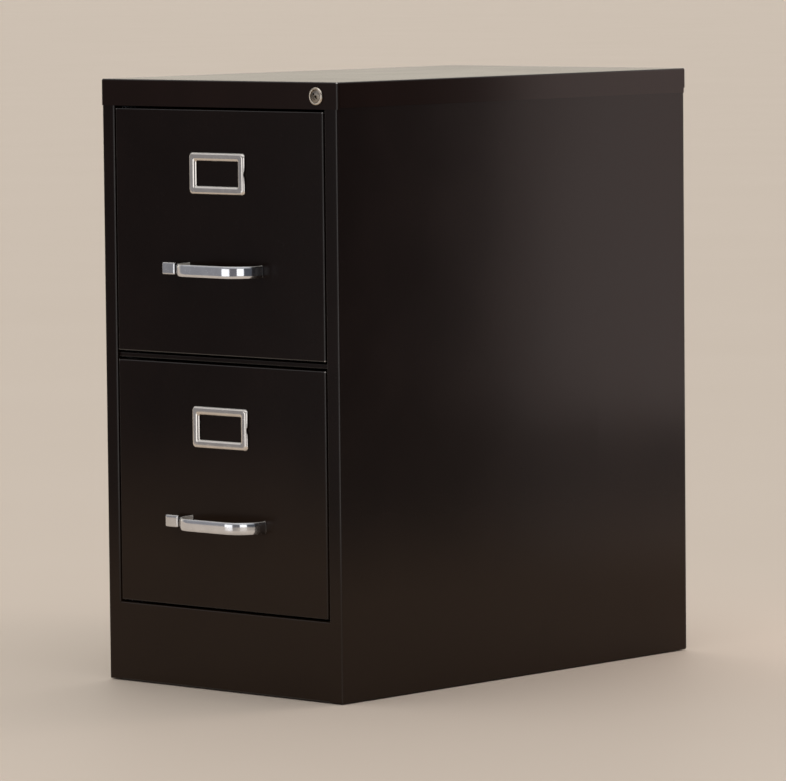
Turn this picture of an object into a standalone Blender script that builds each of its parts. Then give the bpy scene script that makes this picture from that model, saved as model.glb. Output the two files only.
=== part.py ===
"""Two-drawer vertical filing cabinet of painted sheet steel, in metres.

The front faces -Y and +Z is up. The origin lies on the floor, under the middle of the box that
the case and its handles fill together. Drawers are shut, latches out and the lock open.
"""

import math

import bmesh
import bpy
from mathutils import Matrix, Vector

MM = 0.001

# Sheet metal
SHEET = 1.0 * MM
BEND = 1.0 * MM  # inside radius of a bend
BEND_STEPS = 3
SEAM = 0.3 * MM  # gap where two pieces are seated on each other
CUT_PAST = 1.0 * MM  # how far a cutter runs past what it cuts

# Case
CAP_WIDTH = 381 * MM
CASE_DEPTH = 635 * MM
CASE_HEIGHT = 721 * MM
CASE_LIFT = 1.5 * MM  # lower edge of the case above the floor
HEADER_HEIGHT = 31.6 * MM
SKIRT_HEIGHT = 30 * MM
BACK_SKIRT = 24 * MM
CORNER_EAR = 4.5 * MM  # the header is wrapped this far round each corner of the cap
CORNER_SLIT = 0.6 * MM
STILE_WIDTH = 19.2 * MM
STILE_RETURN = 14 * MM
REAR_FLANGE = 13 * MM
TOE_HEIGHT = 95.2 * MM
TOE_LEDGE = 20 * MM
BASE_FLANGE = 42 * MM
RAIL_HEIGHT = 6.2 * MM
RAIL_SETBACK = 4 * MM
RAIL_DEPTH = 18 * MM
UPRIGHT_FLANGE = 10 * MM
UPRIGHT_WEB = 24 * MM
UPRIGHT_TOP = 34 * MM  # below the top of the cap
FRONT_UPRIGHT = 28 * MM
REAR_UPRIGHT = 540 * MM
GLIDE_RADIUS = 12 * MM
GLIDE_STEM = 3 * MM
GLIDE_HEAD = 6 * MM  # length of the stem above the flange that it is pressed into
GLIDE_EDGE = 0.6 * MM
GLIDE_INSET = 38 * MM  # from the side of the case
GLIDE_SETBACK = 24 * MM  # from the front and the back of the case

# Drawer fronts and trays
REVEAL = 2.8 * MM  # gap above the upper front and below the lower one
SIDE_REVEAL = 2.5 * MM
RAIL_SPACE = 10.5 * MM  # between the two fronts
FRONT_FLANGE = 13 * MM
HEAD_DEPTH = 20 * MM  # from the front's face to the back of its liner
LINER_RIM = 3 * MM
TRAY_RISE = 12 * MM
TRAY_HEIGHT = 245 * MM
TRAY_LIP = 9 * MM
TRAY_LENGTH = 580 * MM
BACK_DROP = 22 * MM  # the drawer back is this much lower than the sides
BACK_INSET = 6 * MM
BACK_FLANGE = 14 * MM

# Ball slides: outer, middle and inner channels nested in one another
SLIDE_LAP = 0.5 * MM  # outer member behind the edge of the stile
SLIDE_THICK = 12.7 * MM
SLIDE_HEIGHT = 45.7 * MM
SLIDE_STEEL = 1.2 * MM
SLIDE_BEND = 0.8 * MM
SLIDE_LENGTH = 560 * MM
SLIDE_START = 31 * MM
SLIDE_RISE = 85 * MM
SLIDE_OPEN = 2.2 * MM  # free edge of the outer and middle channels short of the far side
BALL_RADIUS = 2.3 * MM
BALL_PLAY = 0.1 * MM
BALL_SPACING = 110 * MM
BALLS_IN_ROW = 3
BALL_DEPTH = 4.2 * MM  # centre of a ball from the web of its cage
CAGE_SHEET = 0.6 * MM
CAGE_PLAY = 0.4 * MM
CAGE_FLANGE = 7.6 * MM
CAGE_START = 150 * MM
CAGE_LENGTH = 260 * MM

# Follower plate on its rail
FOLLOWER_WIDTH = 284 * MM
FOLLOWER_HEIGHT = 190 * MM
FOLLOWER_LEAN = 22 * MM
FOLLOWER_FOOT = 70 * MM
FOLLOWER_HEM = 9 * MM
FOLLOWER_REST = 45 * MM  # its heel in front of the drawer back
RUNNER_WIDTH = 4 * MM
RUNNER_PLAY = 0.4 * MM
TRACK_WIDTH = 18 * MM
TRACK_HEIGHT = 9 * MM
TRACK_FLANGE = 8 * MM
TRACK_FRONT = 18 * MM
TRACK_BACK = 8 * MM

# Handle, label holder and thumb latch
HANDLE_WIDTH = 121.6 * MM
HANDLE_HEIGHT = 14.2 * MM
HANDLE_REACH = 38.7 * MM
HANDLE_THICK = 3.0 * MM
HANDLE_CROWN = 1.1 * MM
HANDLE_BEND = 28.5 * MM  # inside radius
HANDLE_SHIFT = 10.2 * MM  # to the right of the drawer's middle
HANDLE_DROP = 187.6 * MM  # middle of handle and latch below the top of the front
LABEL_WIDTH = 89.5 * MM
LABEL_HEIGHT = 49 * MM
LABEL_PROUD = 3.2 * MM
LABEL_EDGE = 1.0 * MM
LABEL_CORNER = 5 * MM
LABEL_DROP = 75 * MM
WINDOW_WIDTH = 67 * MM
WINDOW_HEIGHT = 29.5 * MM
WINDOW_CORNER = 1.5 * MM
CARD_LAP = 5 * MM
CARD_POCKET = 0.8 * MM
THUMB_RADIUS = 13 * MM
THUMB_DEPTH = 1.6 * MM
BUTTON_WIDTH = 20.3 * MM
BUTTON_HEIGHT = 14 * MM
BUTTON_THICK = 3.2 * MM
BUTTON_REACH = 13.5 * MM
BUTTON_CORNER = 1.6 * MM
BUTTON_CROWN = 0.9 * MM
BUTTON_SHIFT = 70 * MM  # to the left of the drawer's middle
STEM_WIDTH = 5 * MM
STEM_HEIGHT = 7 * MM
STEM_PLAY = 0.4 * MM
LATCH_TRAVEL = 6 * MM
BOLT_HEIGHT = 10 * MM
BOLT_THICK = 2.4 * MM
BOLT_THROW = 3.5 * MM  # behind the stile
BOLT_PLAY = 0.6 * MM
BOLT_TAIL = 8 * MM
SPRING_LENGTH = 22 * MM
SPRING_RADIUS = 2.6 * MM
SPRING_WIRE = 0.5 * MM
SPRING_TURNS = 6
SPRING_TAB = 12 * MM

# Lock
LOCK_INSET = 32 * MM
LOCK_DROP = 16.4 * MM
LOCK_PROUD = 2.8 * MM
BEZEL_RADIUS = 10.5 * MM
BARREL_RADIUS = 9.5 * MM
BARREL_LENGTH = 16 * MM
NUT_RADIUS = 12 * MM
NUT_THICK = 3 * MM
PLUG_RADIUS = 7.6 * MM
PLUG_PLAY = 0.1 * MM
PLUG_STEPS = 32
TAIL_RADIUS = 3 * MM
KEY_WIDTH = 1.5 * MM
KEY_LENGTH = 8 * MM
KEY_DEPTH = 6 * MM
CAM_THICK = 2 * MM
CAM_BOSS = 6 * MM
CRANK = 10 * MM
CRANK_PIN = 1.5 * MM
PIN_LAND = 1.8 * MM
PIN_PLAY = 0.6 * MM
LOCK_TURN = math.radians(90)
BAR_WIDTH = 10 * MM
BAR_THICK = 2 * MM
BAR_CLEAR = 2 * MM  # behind the drawer liners
ARM_HEIGHT = 12 * MM
ARM_END = 2.5 * MM
KEEPER_THICK = 1.2 * MM
KEEPER_ROOT = 3 * MM
FINGER_HEIGHT = 12 * MM
FINGER_CLEAR = 4 * MM
CATCH_REACH = 9 * MM
CATCH_HEIGHT = 12 * MM
CATCH_THICK = 1.5 * MM
CATCH_RISE = 170 * MM
CATCH_GAP = 8 * MM
CATCH_DROP = 1.5 * MM

# Colour, metallic and roughness of each finish
PAINT = ((0.011, 0.010, 0.009), 0.0, 0.34)
CHROME = ((0.72, 0.72, 0.73), 1.0, 0.12)
NICKEL = ((0.55, 0.49, 0.41), 1.0, 0.26)
ZINC = ((0.60, 0.61, 0.62), 1.0, 0.36)
NYLON = ((0.035, 0.035, 0.035), 0.0, 0.5)

# What follows from the sizes above
FRONT_Y = -(CASE_DEPTH - HANDLE_REACH) / 2
SIDE_X = CAP_WIDTH / 2 - SHEET - SEAM
OPENING_X = SIDE_X - STILE_WIDTH
OPENING_TOP = CASE_HEIGHT - HEADER_HEIGHT
SHELL_TOP = CASE_HEIGHT - SHEET - BEND  # walls end below the bend of the cap
CORNER_X = SIDE_X - SHEET - BEND  # where the bend between wall and stile starts
FRONT_X = OPENING_X - SIDE_REVEAL
FRONT_HEIGHT = (OPENING_TOP - TOE_HEIGHT - RAIL_SPACE - 2 * REVEAL) / 2
DRAWER_Z = {"lower": TOE_HEIGHT + REVEAL, "upper": OPENING_TOP - REVEAL - FRONT_HEIGHT}
BACK_Y = CASE_DEPTH - SHEET - SEAM
SIDE_END = BACK_Y - SHEET - SEAM
SLIDE_X = OPENING_X + SLIDE_LAP
TRAY_X = SLIDE_X - SLIDE_THICK - SEAM
TRAY_START = HEAD_DEPTH + SEAM
TRAY_END = TRAY_START + TRAY_LENGTH
LOCK_X = CAP_WIDTH / 2 - LOCK_INSET
LOCK_Z = CASE_HEIGHT - LOCK_DROP
BAR_X = (SLIDE_X + SIDE_X - SHEET) / 2
BAR_Y = HEAD_DEPTH + BAR_CLEAR
LATCH_Z = FRONT_HEIGHT - HANDLE_DROP
BOLT_Y = STILE_RETURN + BOLT_PLAY
SIDES = {"left": -1, "right": 1}


def spot(axis, a, b, level):
    """A point at a level along one axis; a and b fill the other two in their order."""
    return {"X": (level, a, b), "Y": (a, level, b), "Z": (a, b, level)}[axis]


def body(name, shape, parent, at):
    bmesh.ops.recalc_face_normals(shape, faces=shape.faces)
    mesh = bpy.data.meshes.new(name)
    shape.to_mesh(mesh)
    shape.free()
    mesh.shade_smooth()
    mesh.set_sharp_from_angle(angle=math.radians(35))
    part = bpy.data.objects.new(name, mesh)
    part.parent = parent
    part.location = at
    bpy.context.scene.collection.objects.link(part)
    return part


def piece(name, shape, finish, parent, at=(0, 0, 0)):
    """A named solid with a material of its own, placed in its parent's frame."""
    part = body(name, shape, parent, at)
    material = bpy.data.materials.new(name)
    material.use_nodes = True
    colour, metallic, roughness = finish
    inputs = material.node_tree.nodes["Principled BSDF"].inputs
    inputs["Base Color"].default_value = (*colour, 1)
    inputs["Metallic"].default_value = metallic
    inputs["Roughness"].default_value = roughness
    part.data.materials.append(material)
    return part


def change(part, shape, operation):
    """Joins a helper solid to a piece, or cuts it away, in the piece's own frame."""
    helper = body(part.name + "_helper", shape, part.parent, part.location)
    helper.hide_render = True
    helper.display_type = "WIRE"
    step = part.modifiers.new(operation.title(), "BOOLEAN")
    step.operation = operation
    step.solver = "EXACT"
    step.object = helper


def cut(part, shape):
    change(part, shape, "DIFFERENCE")


def join(part, shape):
    change(part, shape, "UNION")


def frame(name, at, parent=None):
    empty = bpy.data.objects.new(name, None)
    empty.location = at
    empty.parent = parent
    bpy.context.scene.collection.objects.link(empty)
    return empty


def bridge(shape, low, high):
    """Faces between two loops of vertices, where a loop of one vertex is a pole."""
    count = max(len(low), len(high))
    for k in range(count):
        corners = [low[k % len(low)], low[(k + 1) % len(low)]]
        corners += [high[(k + 1) % len(high)], high[k % len(high)]]
        shape.faces.new(list(dict.fromkeys(corners)))


def loft(rows, ring=False):
    """A solid through loops of points; a ring runs from the last loop back to the first."""
    shape = bmesh.new()
    loops = [[shape.verts.new(point) for point in row] for row in rows]
    for low, high in zip(loops, loops[1:]):
        bridge(shape, low, high)
    if ring:
        bridge(shape, loops[-1], loops[0])
        return shape
    for end in (loops[0], loops[-1]):
        if len(end) > 2:
            shape.faces.new(end)
    return shape


def prism(outline, axis, start, end):
    return loft([[spot(axis, a, b, level) for a, b in outline] for level in (start, end)])


def block(x, y, z):
    """A box between the two values given for each axis."""
    return prism([(x[0], y[0]), (x[1], y[0]), (x[1], y[1]), (x[0], y[1])], "Z", *z)


def turned(profile, axis, steps, centre=(0, 0), ring=False):
    """A profile of (radius, level) points turned about an axis."""
    rows = []
    for radius, level in profile:
        angles = [math.tau * k / steps for k in range(steps if radius else 1)]
        ring_of = [(centre[0] + radius * math.cos(a), centre[1] + radius * math.sin(a)) for a in angles]
        rows.append([spot(axis, a, b, level) for a, b in ring_of])
    return loft(rows, ring)


def rod(radius, axis, start, end, centre=(0, 0), steps=24):
    return turned([(0, start), (radius, start), (radius, end), (0, end)], axis, steps, centre)


def bend_line(path, radius, steps=BEND_STEPS):
    """Points and left-hand normals along a path whose corners are rounded to a radius."""
    line = []
    for i, corner in enumerate(path):
        here = Vector(corner)
        before = (here - Vector(path[i - 1])).normalized() if i else None
        after = (Vector(path[i + 1]) - here).normalized() if i + 1 < len(path) else None
        if before is None or after is None:
            along = before or after
            line.append((here, Vector((-along.y, along.x))))
            continue
        turn = math.atan2(before.x * after.y - before.y * after.x, before.dot(after))
        hand = math.copysign(1, turn)
        normal = Vector((-before.y, before.x))
        start = here - before * radius * math.tan(abs(turn) / 2)
        centre = start + normal * hand * radius
        for k in range(steps + 1):
            turned_normal = normal.copy()
            turned_normal.rotate(Matrix.Rotation(turn * k / steps, 2))
            line.append((centre - turned_normal * hand * radius, turned_normal))
    return line


def bent(path, thick=SHEET, inside=BEND):
    """Outline of a sheet bent along a mid-line."""
    line = bend_line(path, inside + thick / 2)
    near = [point + normal * thick / 2 for point, normal in line]
    far = [point - normal * thick / 2 for point, normal in line]
    return [tuple(point) for point in near + far[::-1]]


def rounded(width, height, corner, steps=BEND_STEPS):
    """A rounded rectangle about the middle."""
    points = []
    for quarter, (a, b) in enumerate(((1, 1), (-1, 1), (-1, -1), (1, -1))):
        for k in range(steps + 1):
            angle = math.radians(90) * (quarter + k / steps)
            across = a * (width / 2 - corner) + corner * math.cos(angle)
            up = b * (height / 2 - corner) + corner * math.sin(angle)
            points.append((across, up))
    return points


def pan(width, height, depth, place, thick=SHEET):
    """A shallow open box of sheet; place puts (across, up, behind the face) in space."""
    edge = BEND + thick
    least = BEND / 5

    def skin(inset, radius):
        rows = [(inset, depth)]
        for k in range(BEND_STEPS + 1):
            angle = math.radians(90) * k / BEND_STEPS
            rows.append((inset + radius * (1 - math.cos(angle)), inset + radius * (1 - math.sin(angle))))
        return [
            [place(u, v, level) for u, v in rounded(width - 2 * i, height - 2 * i, max(edge - i, least))]
            for i, level in rows
        ]

    shape = bmesh.new()
    rims = []
    for inset, radius in ((0, edge), (thick, BEND)):
        loops = [[shape.verts.new(point) for point in row] for row in skin(inset, radius)]
        for low, high in zip(loops, loops[1:]):
            bridge(shape, low, high)
        shape.faces.new(loops[-1])
        rims.append(loops[0])
    bridge(shape, *rims)
    return shape


def link(first, first_radius, second, second_radius, steps=8):
    """Outline of a plate round two centres, with straight edges between."""
    a, b = Vector(first), Vector(second)
    along = math.atan2(b.y - a.y, b.x - a.x)
    spread = math.acos((first_radius - second_radius) / (b - a).length)
    points = []
    for centre, radius, start, sweep in (
        (a, first_radius, along + spread, math.tau - 2 * spread),
        (b, second_radius, along - spread, 2 * spread),
    ):
        for k in range(steps + 1):
            angle = start + sweep * k / steps
            points.append((centre.x + radius * math.cos(angle), centre.y + radius * math.sin(angle)))
    return points


def coil(length, radius, wire, turns, sides=4, steps=9):
    """An open wound spring along +X."""
    rows = []
    for k in range(turns * steps + 1):
        angle = math.tau * k / steps
        out = Vector((0, math.cos(angle), math.sin(angle)))
        pitch = (length - 2 * wire) / turns
        along = Vector((pitch / math.tau, -radius * math.sin(angle), radius * math.cos(angle))).normalized()
        middle = Vector((wire + pitch * k / steps, 0, 0)) + out * radius
        across = along.cross(out)
        around = [math.tau * s / sides for s in range(sides)]
        rows.append([middle + (out * math.cos(a) + across * math.sin(a)) * wire for a in around])
    return loft(rows)


for old in list(bpy.data.objects):
    bpy.data.objects.remove(old)

# The case's frame has its origin on the floor at the middle of the front plane.
case = frame("case", (0, FRONT_Y, 0))

# Each side is one sheet: the wall, a stile bent in at the front with a return behind it, and a
# flange at the back. The stile stops under the header and on the toe panel.
for name, side in SIDES.items():
    wall_x = SIDE_X - SHEET / 2
    stile_x = OPENING_X + SHEET / 2
    path = [
        (stile_x, STILE_RETURN),
        (stile_x, SHEET / 2),
        (wall_x, SHEET / 2),
        (wall_x, SIDE_END - SHEET / 2),
        (SIDE_X - REAR_FLANGE, SIDE_END - SHEET / 2),
    ]
    outline = bent([(side * x, y) for x, y in path])
    wall = prism(outline, "Z", CASE_LIFT, SHELL_TOP)
    panel = piece(name + "_side_panel", wall, PAINT, case)
    under_header = [
        (SIDE_X + CUT_PAST, -CUT_PAST),
        (SIDE_X + CUT_PAST, SHEET + BEND),
        (CORNER_X, SHEET + BEND),
        (CORNER_X, STILE_RETURN + CUT_PAST),
        (OPENING_X - CUT_PAST, STILE_RETURN + CUT_PAST),
        (OPENING_X - CUT_PAST, -CUT_PAST),
    ]
    notch = [(side * x, y) for x, y in under_header]
    cut(panel, prism(notch, "Z", OPENING_TOP - SEAM, CASE_HEIGHT))
    flat_x = (side * (OPENING_X - CUT_PAST), side * CORNER_X)
    flat_y = (-CUT_PAST, STILE_RETURN + CUT_PAST)
    cut(panel, block(flat_x, flat_y, (0, TOE_HEIGHT)))

# The back laps over the flanges of the sides; its foot is bent forward between them for the glides.
path = [
    (BACK_Y - SHEET / 2, SHELL_TOP),
    (BACK_Y - SHEET / 2, CASE_LIFT + SHEET / 2),
    (BACK_Y - BASE_FLANGE, CASE_LIFT + SHEET / 2),
]
back_x = SIDE_X - BEND
back = piece("back_panel", prism(bent(path), "X", -back_x, back_x), PAINT, case)
foot_x = SIDE_X - REAR_FLANGE - SEAM
for side in SIDES.values():
    ends = (side * foot_x, side * (SIDE_X + CUT_PAST))
    depth = (BACK_Y - BASE_FLANGE - CUT_PAST, BACK_Y - SHEET - SEAM / 2)
    cut(back, block(ends, depth, (0, CASE_LIFT + SHEET + BEND + CUT_PAST)))

# The cap is a pan with skirts of three heights. Its front skirt is the header over the drawers.
rim = max(HEADER_HEIGHT, SKIRT_HEIGHT, BACK_SKIRT) + CUT_PAST
cap_shape = pan(CAP_WIDTH, CASE_DEPTH, rim, lambda u, v, w: (u, v + CASE_DEPTH / 2, CASE_HEIGHT - w))
cap = piece("top_cap", cap_shape, PAINT, case)
cap_x = CAP_WIDTH / 2 + CUT_PAST
skirt_in = SHEET + BEND + CUT_PAST
below = CASE_HEIGHT - rim - CUT_PAST
cut(cap, block((-cap_x, cap_x), (-CUT_PAST, CORNER_EAR + CORNER_SLIT / 2), (below, OPENING_TOP)))
for side in SIDES.values():
    across = (side * (CAP_WIDTH / 2 - skirt_in), side * cap_x)
    behind_ear = (CORNER_EAR, CASE_DEPTH + CUT_PAST)
    cut(cap, block(across, behind_ear, (below, CASE_HEIGHT - SKIRT_HEIGHT)))
    slit = (CORNER_EAR, CORNER_EAR + CORNER_SLIT)
    cut(cap, block(across, slit, (below, CASE_HEIGHT - SHEET - BEND - CUT_PAST)))
behind = (CASE_DEPTH - skirt_in, CASE_DEPTH + CUT_PAST)
cut(cap, block((-cap_x, cap_x), behind, (below, CASE_HEIGHT - BACK_SKIRT)))
lock_hole = BARREL_RADIUS + SEAM
cut(cap, rod(lock_hole, "Y", -CUT_PAST, skirt_in, (LOCK_X, LOCK_Z), PLUG_STEPS))

# The toe panel closes the front under the lower drawer, with a ledge above and a foot below. Flat
# ears carry its face on under the stiles to the corners of the case.
path = [
    (TOE_LEDGE, TOE_HEIGHT - SHEET / 2),
    (SHEET / 2, TOE_HEIGHT - SHEET / 2),
    (SHEET / 2, CASE_LIFT + SHEET / 2),
    (BASE_FLANGE, CASE_LIFT + SHEET / 2),
]
between_stiles = OPENING_X - SEAM
toe = piece("toe_panel", prism(bent(path), "X", -between_stiles, between_stiles), PAINT, case)
for side in SIDES.values():
    ear_x = (side * (between_stiles - SHEET), side * (CORNER_X - SEAM))
    join(toe, block(ear_x, (0, SHEET), (CASE_LIFT + SEAM, TOE_HEIGHT - SEAM)))

# A channel set back between the drawers ties the stiles together.
rail_z = DRAWER_Z["upper"] - RAIL_SPACE / 2
rail_half = (RAIL_HEIGHT - SHEET) / 2
path = [
    (RAIL_SETBACK + RAIL_DEPTH, rail_z + rail_half),
    (RAIL_SETBACK + SHEET / 2, rail_z + rail_half),
    (RAIL_SETBACK + SHEET / 2, rail_z - rail_half),
    (RAIL_SETBACK + RAIL_DEPTH, rail_z - rail_half),
]
piece("middle_rail", prism(bent(path), "X", -between_stiles, between_stiles), PAINT, case)

# Hat-section uprights inside the walls carry the slides.
uprights = {}
for row, start in (("front", FRONT_UPRIGHT), ("rear", REAR_UPRIGHT)):
    for name, side in SIDES.items():
        seat_x = SIDE_X - SHEET - SEAM - SHEET / 2
        web_x = SLIDE_X + SEAM + SHEET / 2
        web_start = start + UPRIGHT_FLANGE
        web_end = web_start + UPRIGHT_WEB
        path = [
            (seat_x, start),
            (seat_x, web_start),
            (web_x, web_start),
            (web_x, web_end),
            (seat_x, web_end),
            (seat_x, web_end + UPRIGHT_FLANGE),
        ]
        outline = bent([(side * x, y) for x, y in path])
        hat = prism(outline, "Z", CASE_LIFT, CASE_HEIGHT - UPRIGHT_TOP)
        uprights[row, name] = piece(f"{row}_{name}_upright", hat, ZINC, case)

# Nylon glides are pressed into the feet of the toe panel and the back.
for row, glide_y, foot in (
    ("front", GLIDE_SETBACK, toe),
    ("rear", CASE_DEPTH - GLIDE_SETBACK, back),
):
    for name, side in SIDES.items():
        at = (side * (CAP_WIDTH / 2 - GLIDE_INSET), glide_y, 0)
        profile = [
            (0, 0),
            (GLIDE_RADIUS - GLIDE_EDGE, 0),
            (GLIDE_RADIUS, GLIDE_EDGE),
            (GLIDE_RADIUS, CASE_LIFT - SEAM),
            (GLIDE_STEM, CASE_LIFT - SEAM),
            (GLIDE_STEM, CASE_LIFT + SHEET + GLIDE_HEAD),
            (0, CASE_LIFT + SHEET + GLIDE_HEAD),
        ]
        piece(f"{row}_{name}_glide", turned(profile, "Z", 24), NYLON, case, at)
        hole = rod(GLIDE_STEM + SEAM, "Z", CASE_LIFT - CUT_PAST, CASE_LIFT + SHEET + CUT_PAST, at[:2])
        cut(foot, hole)

# The lock's housing is clamped in the header by a nut; its plug turns in the bore.
lock_at = (LOCK_X, 0, LOCK_Z)
bore = PLUG_RADIUS + PLUG_PLAY
nut_start = SHEET + SEAM
profile = [
    (bore, -LOCK_PROUD + SEAM),
    (BARREL_RADIUS, -LOCK_PROUD),
    (BEZEL_RADIUS, -LOCK_PROUD + (BEZEL_RADIUS - BARREL_RADIUS)),
    (BEZEL_RADIUS, -SEAM),
    (BARREL_RADIUS, -SEAM),
    (BARREL_RADIUS, nut_start),
    (NUT_RADIUS, nut_start),
    (NUT_RADIUS, nut_start + NUT_THICK),
    (BARREL_RADIUS, nut_start + NUT_THICK),
    (BARREL_RADIUS, BARREL_LENGTH),
    (bore, BARREL_LENGTH),
]
piece("lock_housing", turned(profile, "Y", PLUG_STEPS, ring=True), NICKEL, case, lock_at)
lock = frame("lock", lock_at, case)
cam_y = BAR_Y - SEAM - CAM_THICK
profile = [
    (0, -LOCK_PROUD + SEAM),
    (PLUG_RADIUS - SEAM, -LOCK_PROUD + SEAM),
    (PLUG_RADIUS, -LOCK_PROUD + 2 * SEAM),
    (PLUG_RADIUS, cam_y - SEAM),
    (TAIL_RADIUS, cam_y - SEAM),
    (TAIL_RADIUS, cam_y + CAM_THICK),
    (0, cam_y + CAM_THICK),
]
plug = piece("lock_plug", turned(profile, "Y", PLUG_STEPS), NICKEL, lock)
slant = Vector((math.cos(LOCK_TURN / 2), -math.sin(LOCK_TURN / 2)))
across = Vector((-slant.y, slant.x))
keyway = [
    tuple(slant * KEY_LENGTH / 2 * a + across * KEY_WIDTH / 2 * b)
    for a, b in ((1, 1), (-1, 1), (-1, -1), (1, -1))
]
cut(plug, prism(keyway, "Y", -LOCK_PROUD - CUT_PAST, -LOCK_PROUD + KEY_DEPTH))

# The cam's pin points down to the right while the lock is open, and lifts the bar as it turns.
pin_at = tuple(slant * CRANK)
plate = link((0, 0), CAM_BOSS, pin_at, CRANK_PIN + PIN_LAND)
cam = piece("lock_cam", prism(plate, "Y", cam_y, cam_y + CAM_THICK), ZINC, lock)
cut(cam, rod(TAIL_RADIUS + SEAM, "Y", cam_y - CUT_PAST, cam_y + CAM_THICK + CUT_PAST))
join(cam, rod(CRANK_PIN, "Y", cam_y + CAM_THICK / 2, BAR_Y + BAR_THICK + SEAM, pin_at, 16))

# The lock bar is one flat blank: an arm with a slot for the pin, and a finger for each drawer.
arm_z = LOCK_Z + pin_at[1]
slot_start = LOCK_X + pin_at[0] - CRANK_PIN - PIN_PLAY
slot_end = LOCK_X + CRANK + CRANK_PIN + PIN_PLAY
finger_x = TRAY_X + FINGER_CLEAR
finger_tops = [DRAWER_Z[level] + TRAY_RISE + CATCH_RISE - CATCH_DROP for level in ("upper", "lower")]
bar_bottom = finger_tops[-1] - 2 * FINGER_HEIGHT
bar_in = BAR_X - BAR_WIDTH / 2
bar_out = BAR_X + BAR_WIDTH / 2
blank = [
    (bar_out, bar_bottom),
    (bar_out, arm_z + ARM_HEIGHT / 2),
    (slot_start - ARM_END, arm_z + ARM_HEIGHT / 2),
    (slot_start - ARM_END, arm_z - ARM_HEIGHT / 2),
    (bar_in, arm_z - ARM_HEIGHT / 2),
]
for top in finger_tops:
    blank += [(bar_in, top), (finger_x, top), (finger_x, top - FINGER_HEIGHT), (bar_in, top - FINGER_HEIGHT)]
blank.append((bar_in, bar_bottom))
bar = piece("lock_bar", prism(blank, "Y", BAR_Y, BAR_Y + BAR_THICK), ZINC, case)
slot_half = CRANK_PIN + PIN_PLAY
slot_depth = (BAR_Y - CUT_PAST, BAR_Y + BAR_THICK + CUT_PAST)
cut(bar, block((slot_start, slot_end), slot_depth, (arm_z - slot_half, arm_z + slot_half)))

# Two slotted ears on the front right upright keep the bar upright.
keeper = uprights["front", "right"]
for ear_z in (finger_tops[0] - 3 * FINGER_HEIGHT, finger_tops[1] + 3 * FINGER_HEIGHT):
    ear_x = (BAR_X - BAR_WIDTH / 2 - KEEPER_ROOT, SIDE_X - SHEET - SEAM)
    ear_y = (BAR_Y - KEEPER_ROOT, FRONT_UPRIGHT + KEEPER_ROOT)
    join(keeper, block(ear_x, ear_y, (ear_z, ear_z + KEEPER_THICK)))
    hole_x = (bar_in - SEAM, bar_out + SEAM)
    hole_y = (BAR_Y - SEAM, BAR_Y + BAR_THICK + SEAM)
    cut(keeper, block(hole_x, hole_y, (ear_z - CUT_PAST, ear_z + KEEPER_THICK + CUT_PAST)))

# Depths across a slide, from the seat of its outer member towards the drawer
outer_web = SLIDE_STEEL / 2
outer_cage_web = SLIDE_STEEL + CAGE_PLAY + CAGE_SHEET / 2
middle_web = outer_cage_web + CAGE_SHEET / 2 + CAGE_PLAY + SLIDE_STEEL / 2
inner_cage_web = middle_web + SLIDE_STEEL / 2 + CAGE_PLAY + CAGE_SHEET / 2
inner_web = SLIDE_THICK - SLIDE_STEEL / 2
inner_tip = inner_cage_web + CAGE_SHEET / 2 + 2 * CAGE_PLAY

# Half heights of the channels at mid-steel, with a row of balls between each two
ball_room = BALL_RADIUS + BALL_PLAY
outer_half = (SLIDE_HEIGHT - SLIDE_STEEL) / 2
outer_row = outer_half - SLIDE_STEEL / 2 - ball_room
middle_half = outer_row - ball_room - SLIDE_STEEL / 2
inner_row = middle_half - SLIDE_STEEL / 2 - ball_room
inner_half = inner_row - ball_room - SLIDE_STEEL / 2


def channel(side, web, tip, half, start, length, thick=SLIDE_STEEL, inside=SLIDE_BEND):
    """A C-section along +Y, its flanges running from the web to the tip."""
    path = [(tip, half), (web, half), (web, -half), (tip, -half)]
    outline = bent([(-side * x, z) for x, z in path], thick, inside)
    return prism(outline, "Y", start, start + length)


def ball(level, centre, steps=4):
    """A bearing ball at a level along Y."""
    profile = [(0, level - BALL_RADIUS)]
    for k in range(1, steps):
        angle = math.pi * k / steps
        profile.append((BALL_RADIUS * math.sin(angle), level - BALL_RADIUS * math.cos(angle)))
    profile.append((0, level + BALL_RADIUS))
    return turned(profile, "Y", 2 * steps, centre)


def cage(name, side, web, row, at):
    """A ball cage: a light channel with the balls of both rows caught in its flanges."""
    strip = channel(side, web, web + CAGE_FLANGE, row, CAGE_START, CAGE_LENGTH, CAGE_SHEET, CAGE_SHEET)
    part = piece(name, strip, ZINC, case, at)
    first = CAGE_START + (CAGE_LENGTH - (BALLS_IN_ROW - 1) * BALL_SPACING) / 2
    for edge in (-1, 1):
        for k in range(BALLS_IN_ROW):
            join(part, ball(first + k * BALL_SPACING, (-side * (web + BALL_DEPTH), edge * row)))


def slides(level, side_name, drawer):
    side = SIDES[side_name]
    slide_z = TRAY_RISE + SLIDE_RISE
    at = (side * SLIDE_X, SLIDE_START, DRAWER_Z[level] + slide_z)
    name = f"{level}_{side_name}"
    free_edge = SLIDE_THICK - SLIDE_OPEN
    outer = channel(side, outer_web, free_edge, outer_half, 0, SLIDE_LENGTH)
    piece(name + "_outer_slide", outer, ZINC, case, at)
    middle = channel(side, middle_web, free_edge, middle_half, 0, SLIDE_LENGTH)
    piece(name + "_middle_slide", middle, ZINC, case, at)
    inner = channel(side, inner_web, inner_tip, inner_half, 0, SLIDE_LENGTH)
    piece(name + "_inner_slide", inner, ZINC, drawer, (at[0], at[1], slide_z))
    cage(name + "_outer_cage", side, outer_cage_web, outer_row, at)
    cage(name + "_inner_cage", side, inner_cage_web, inner_row, at)


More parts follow.
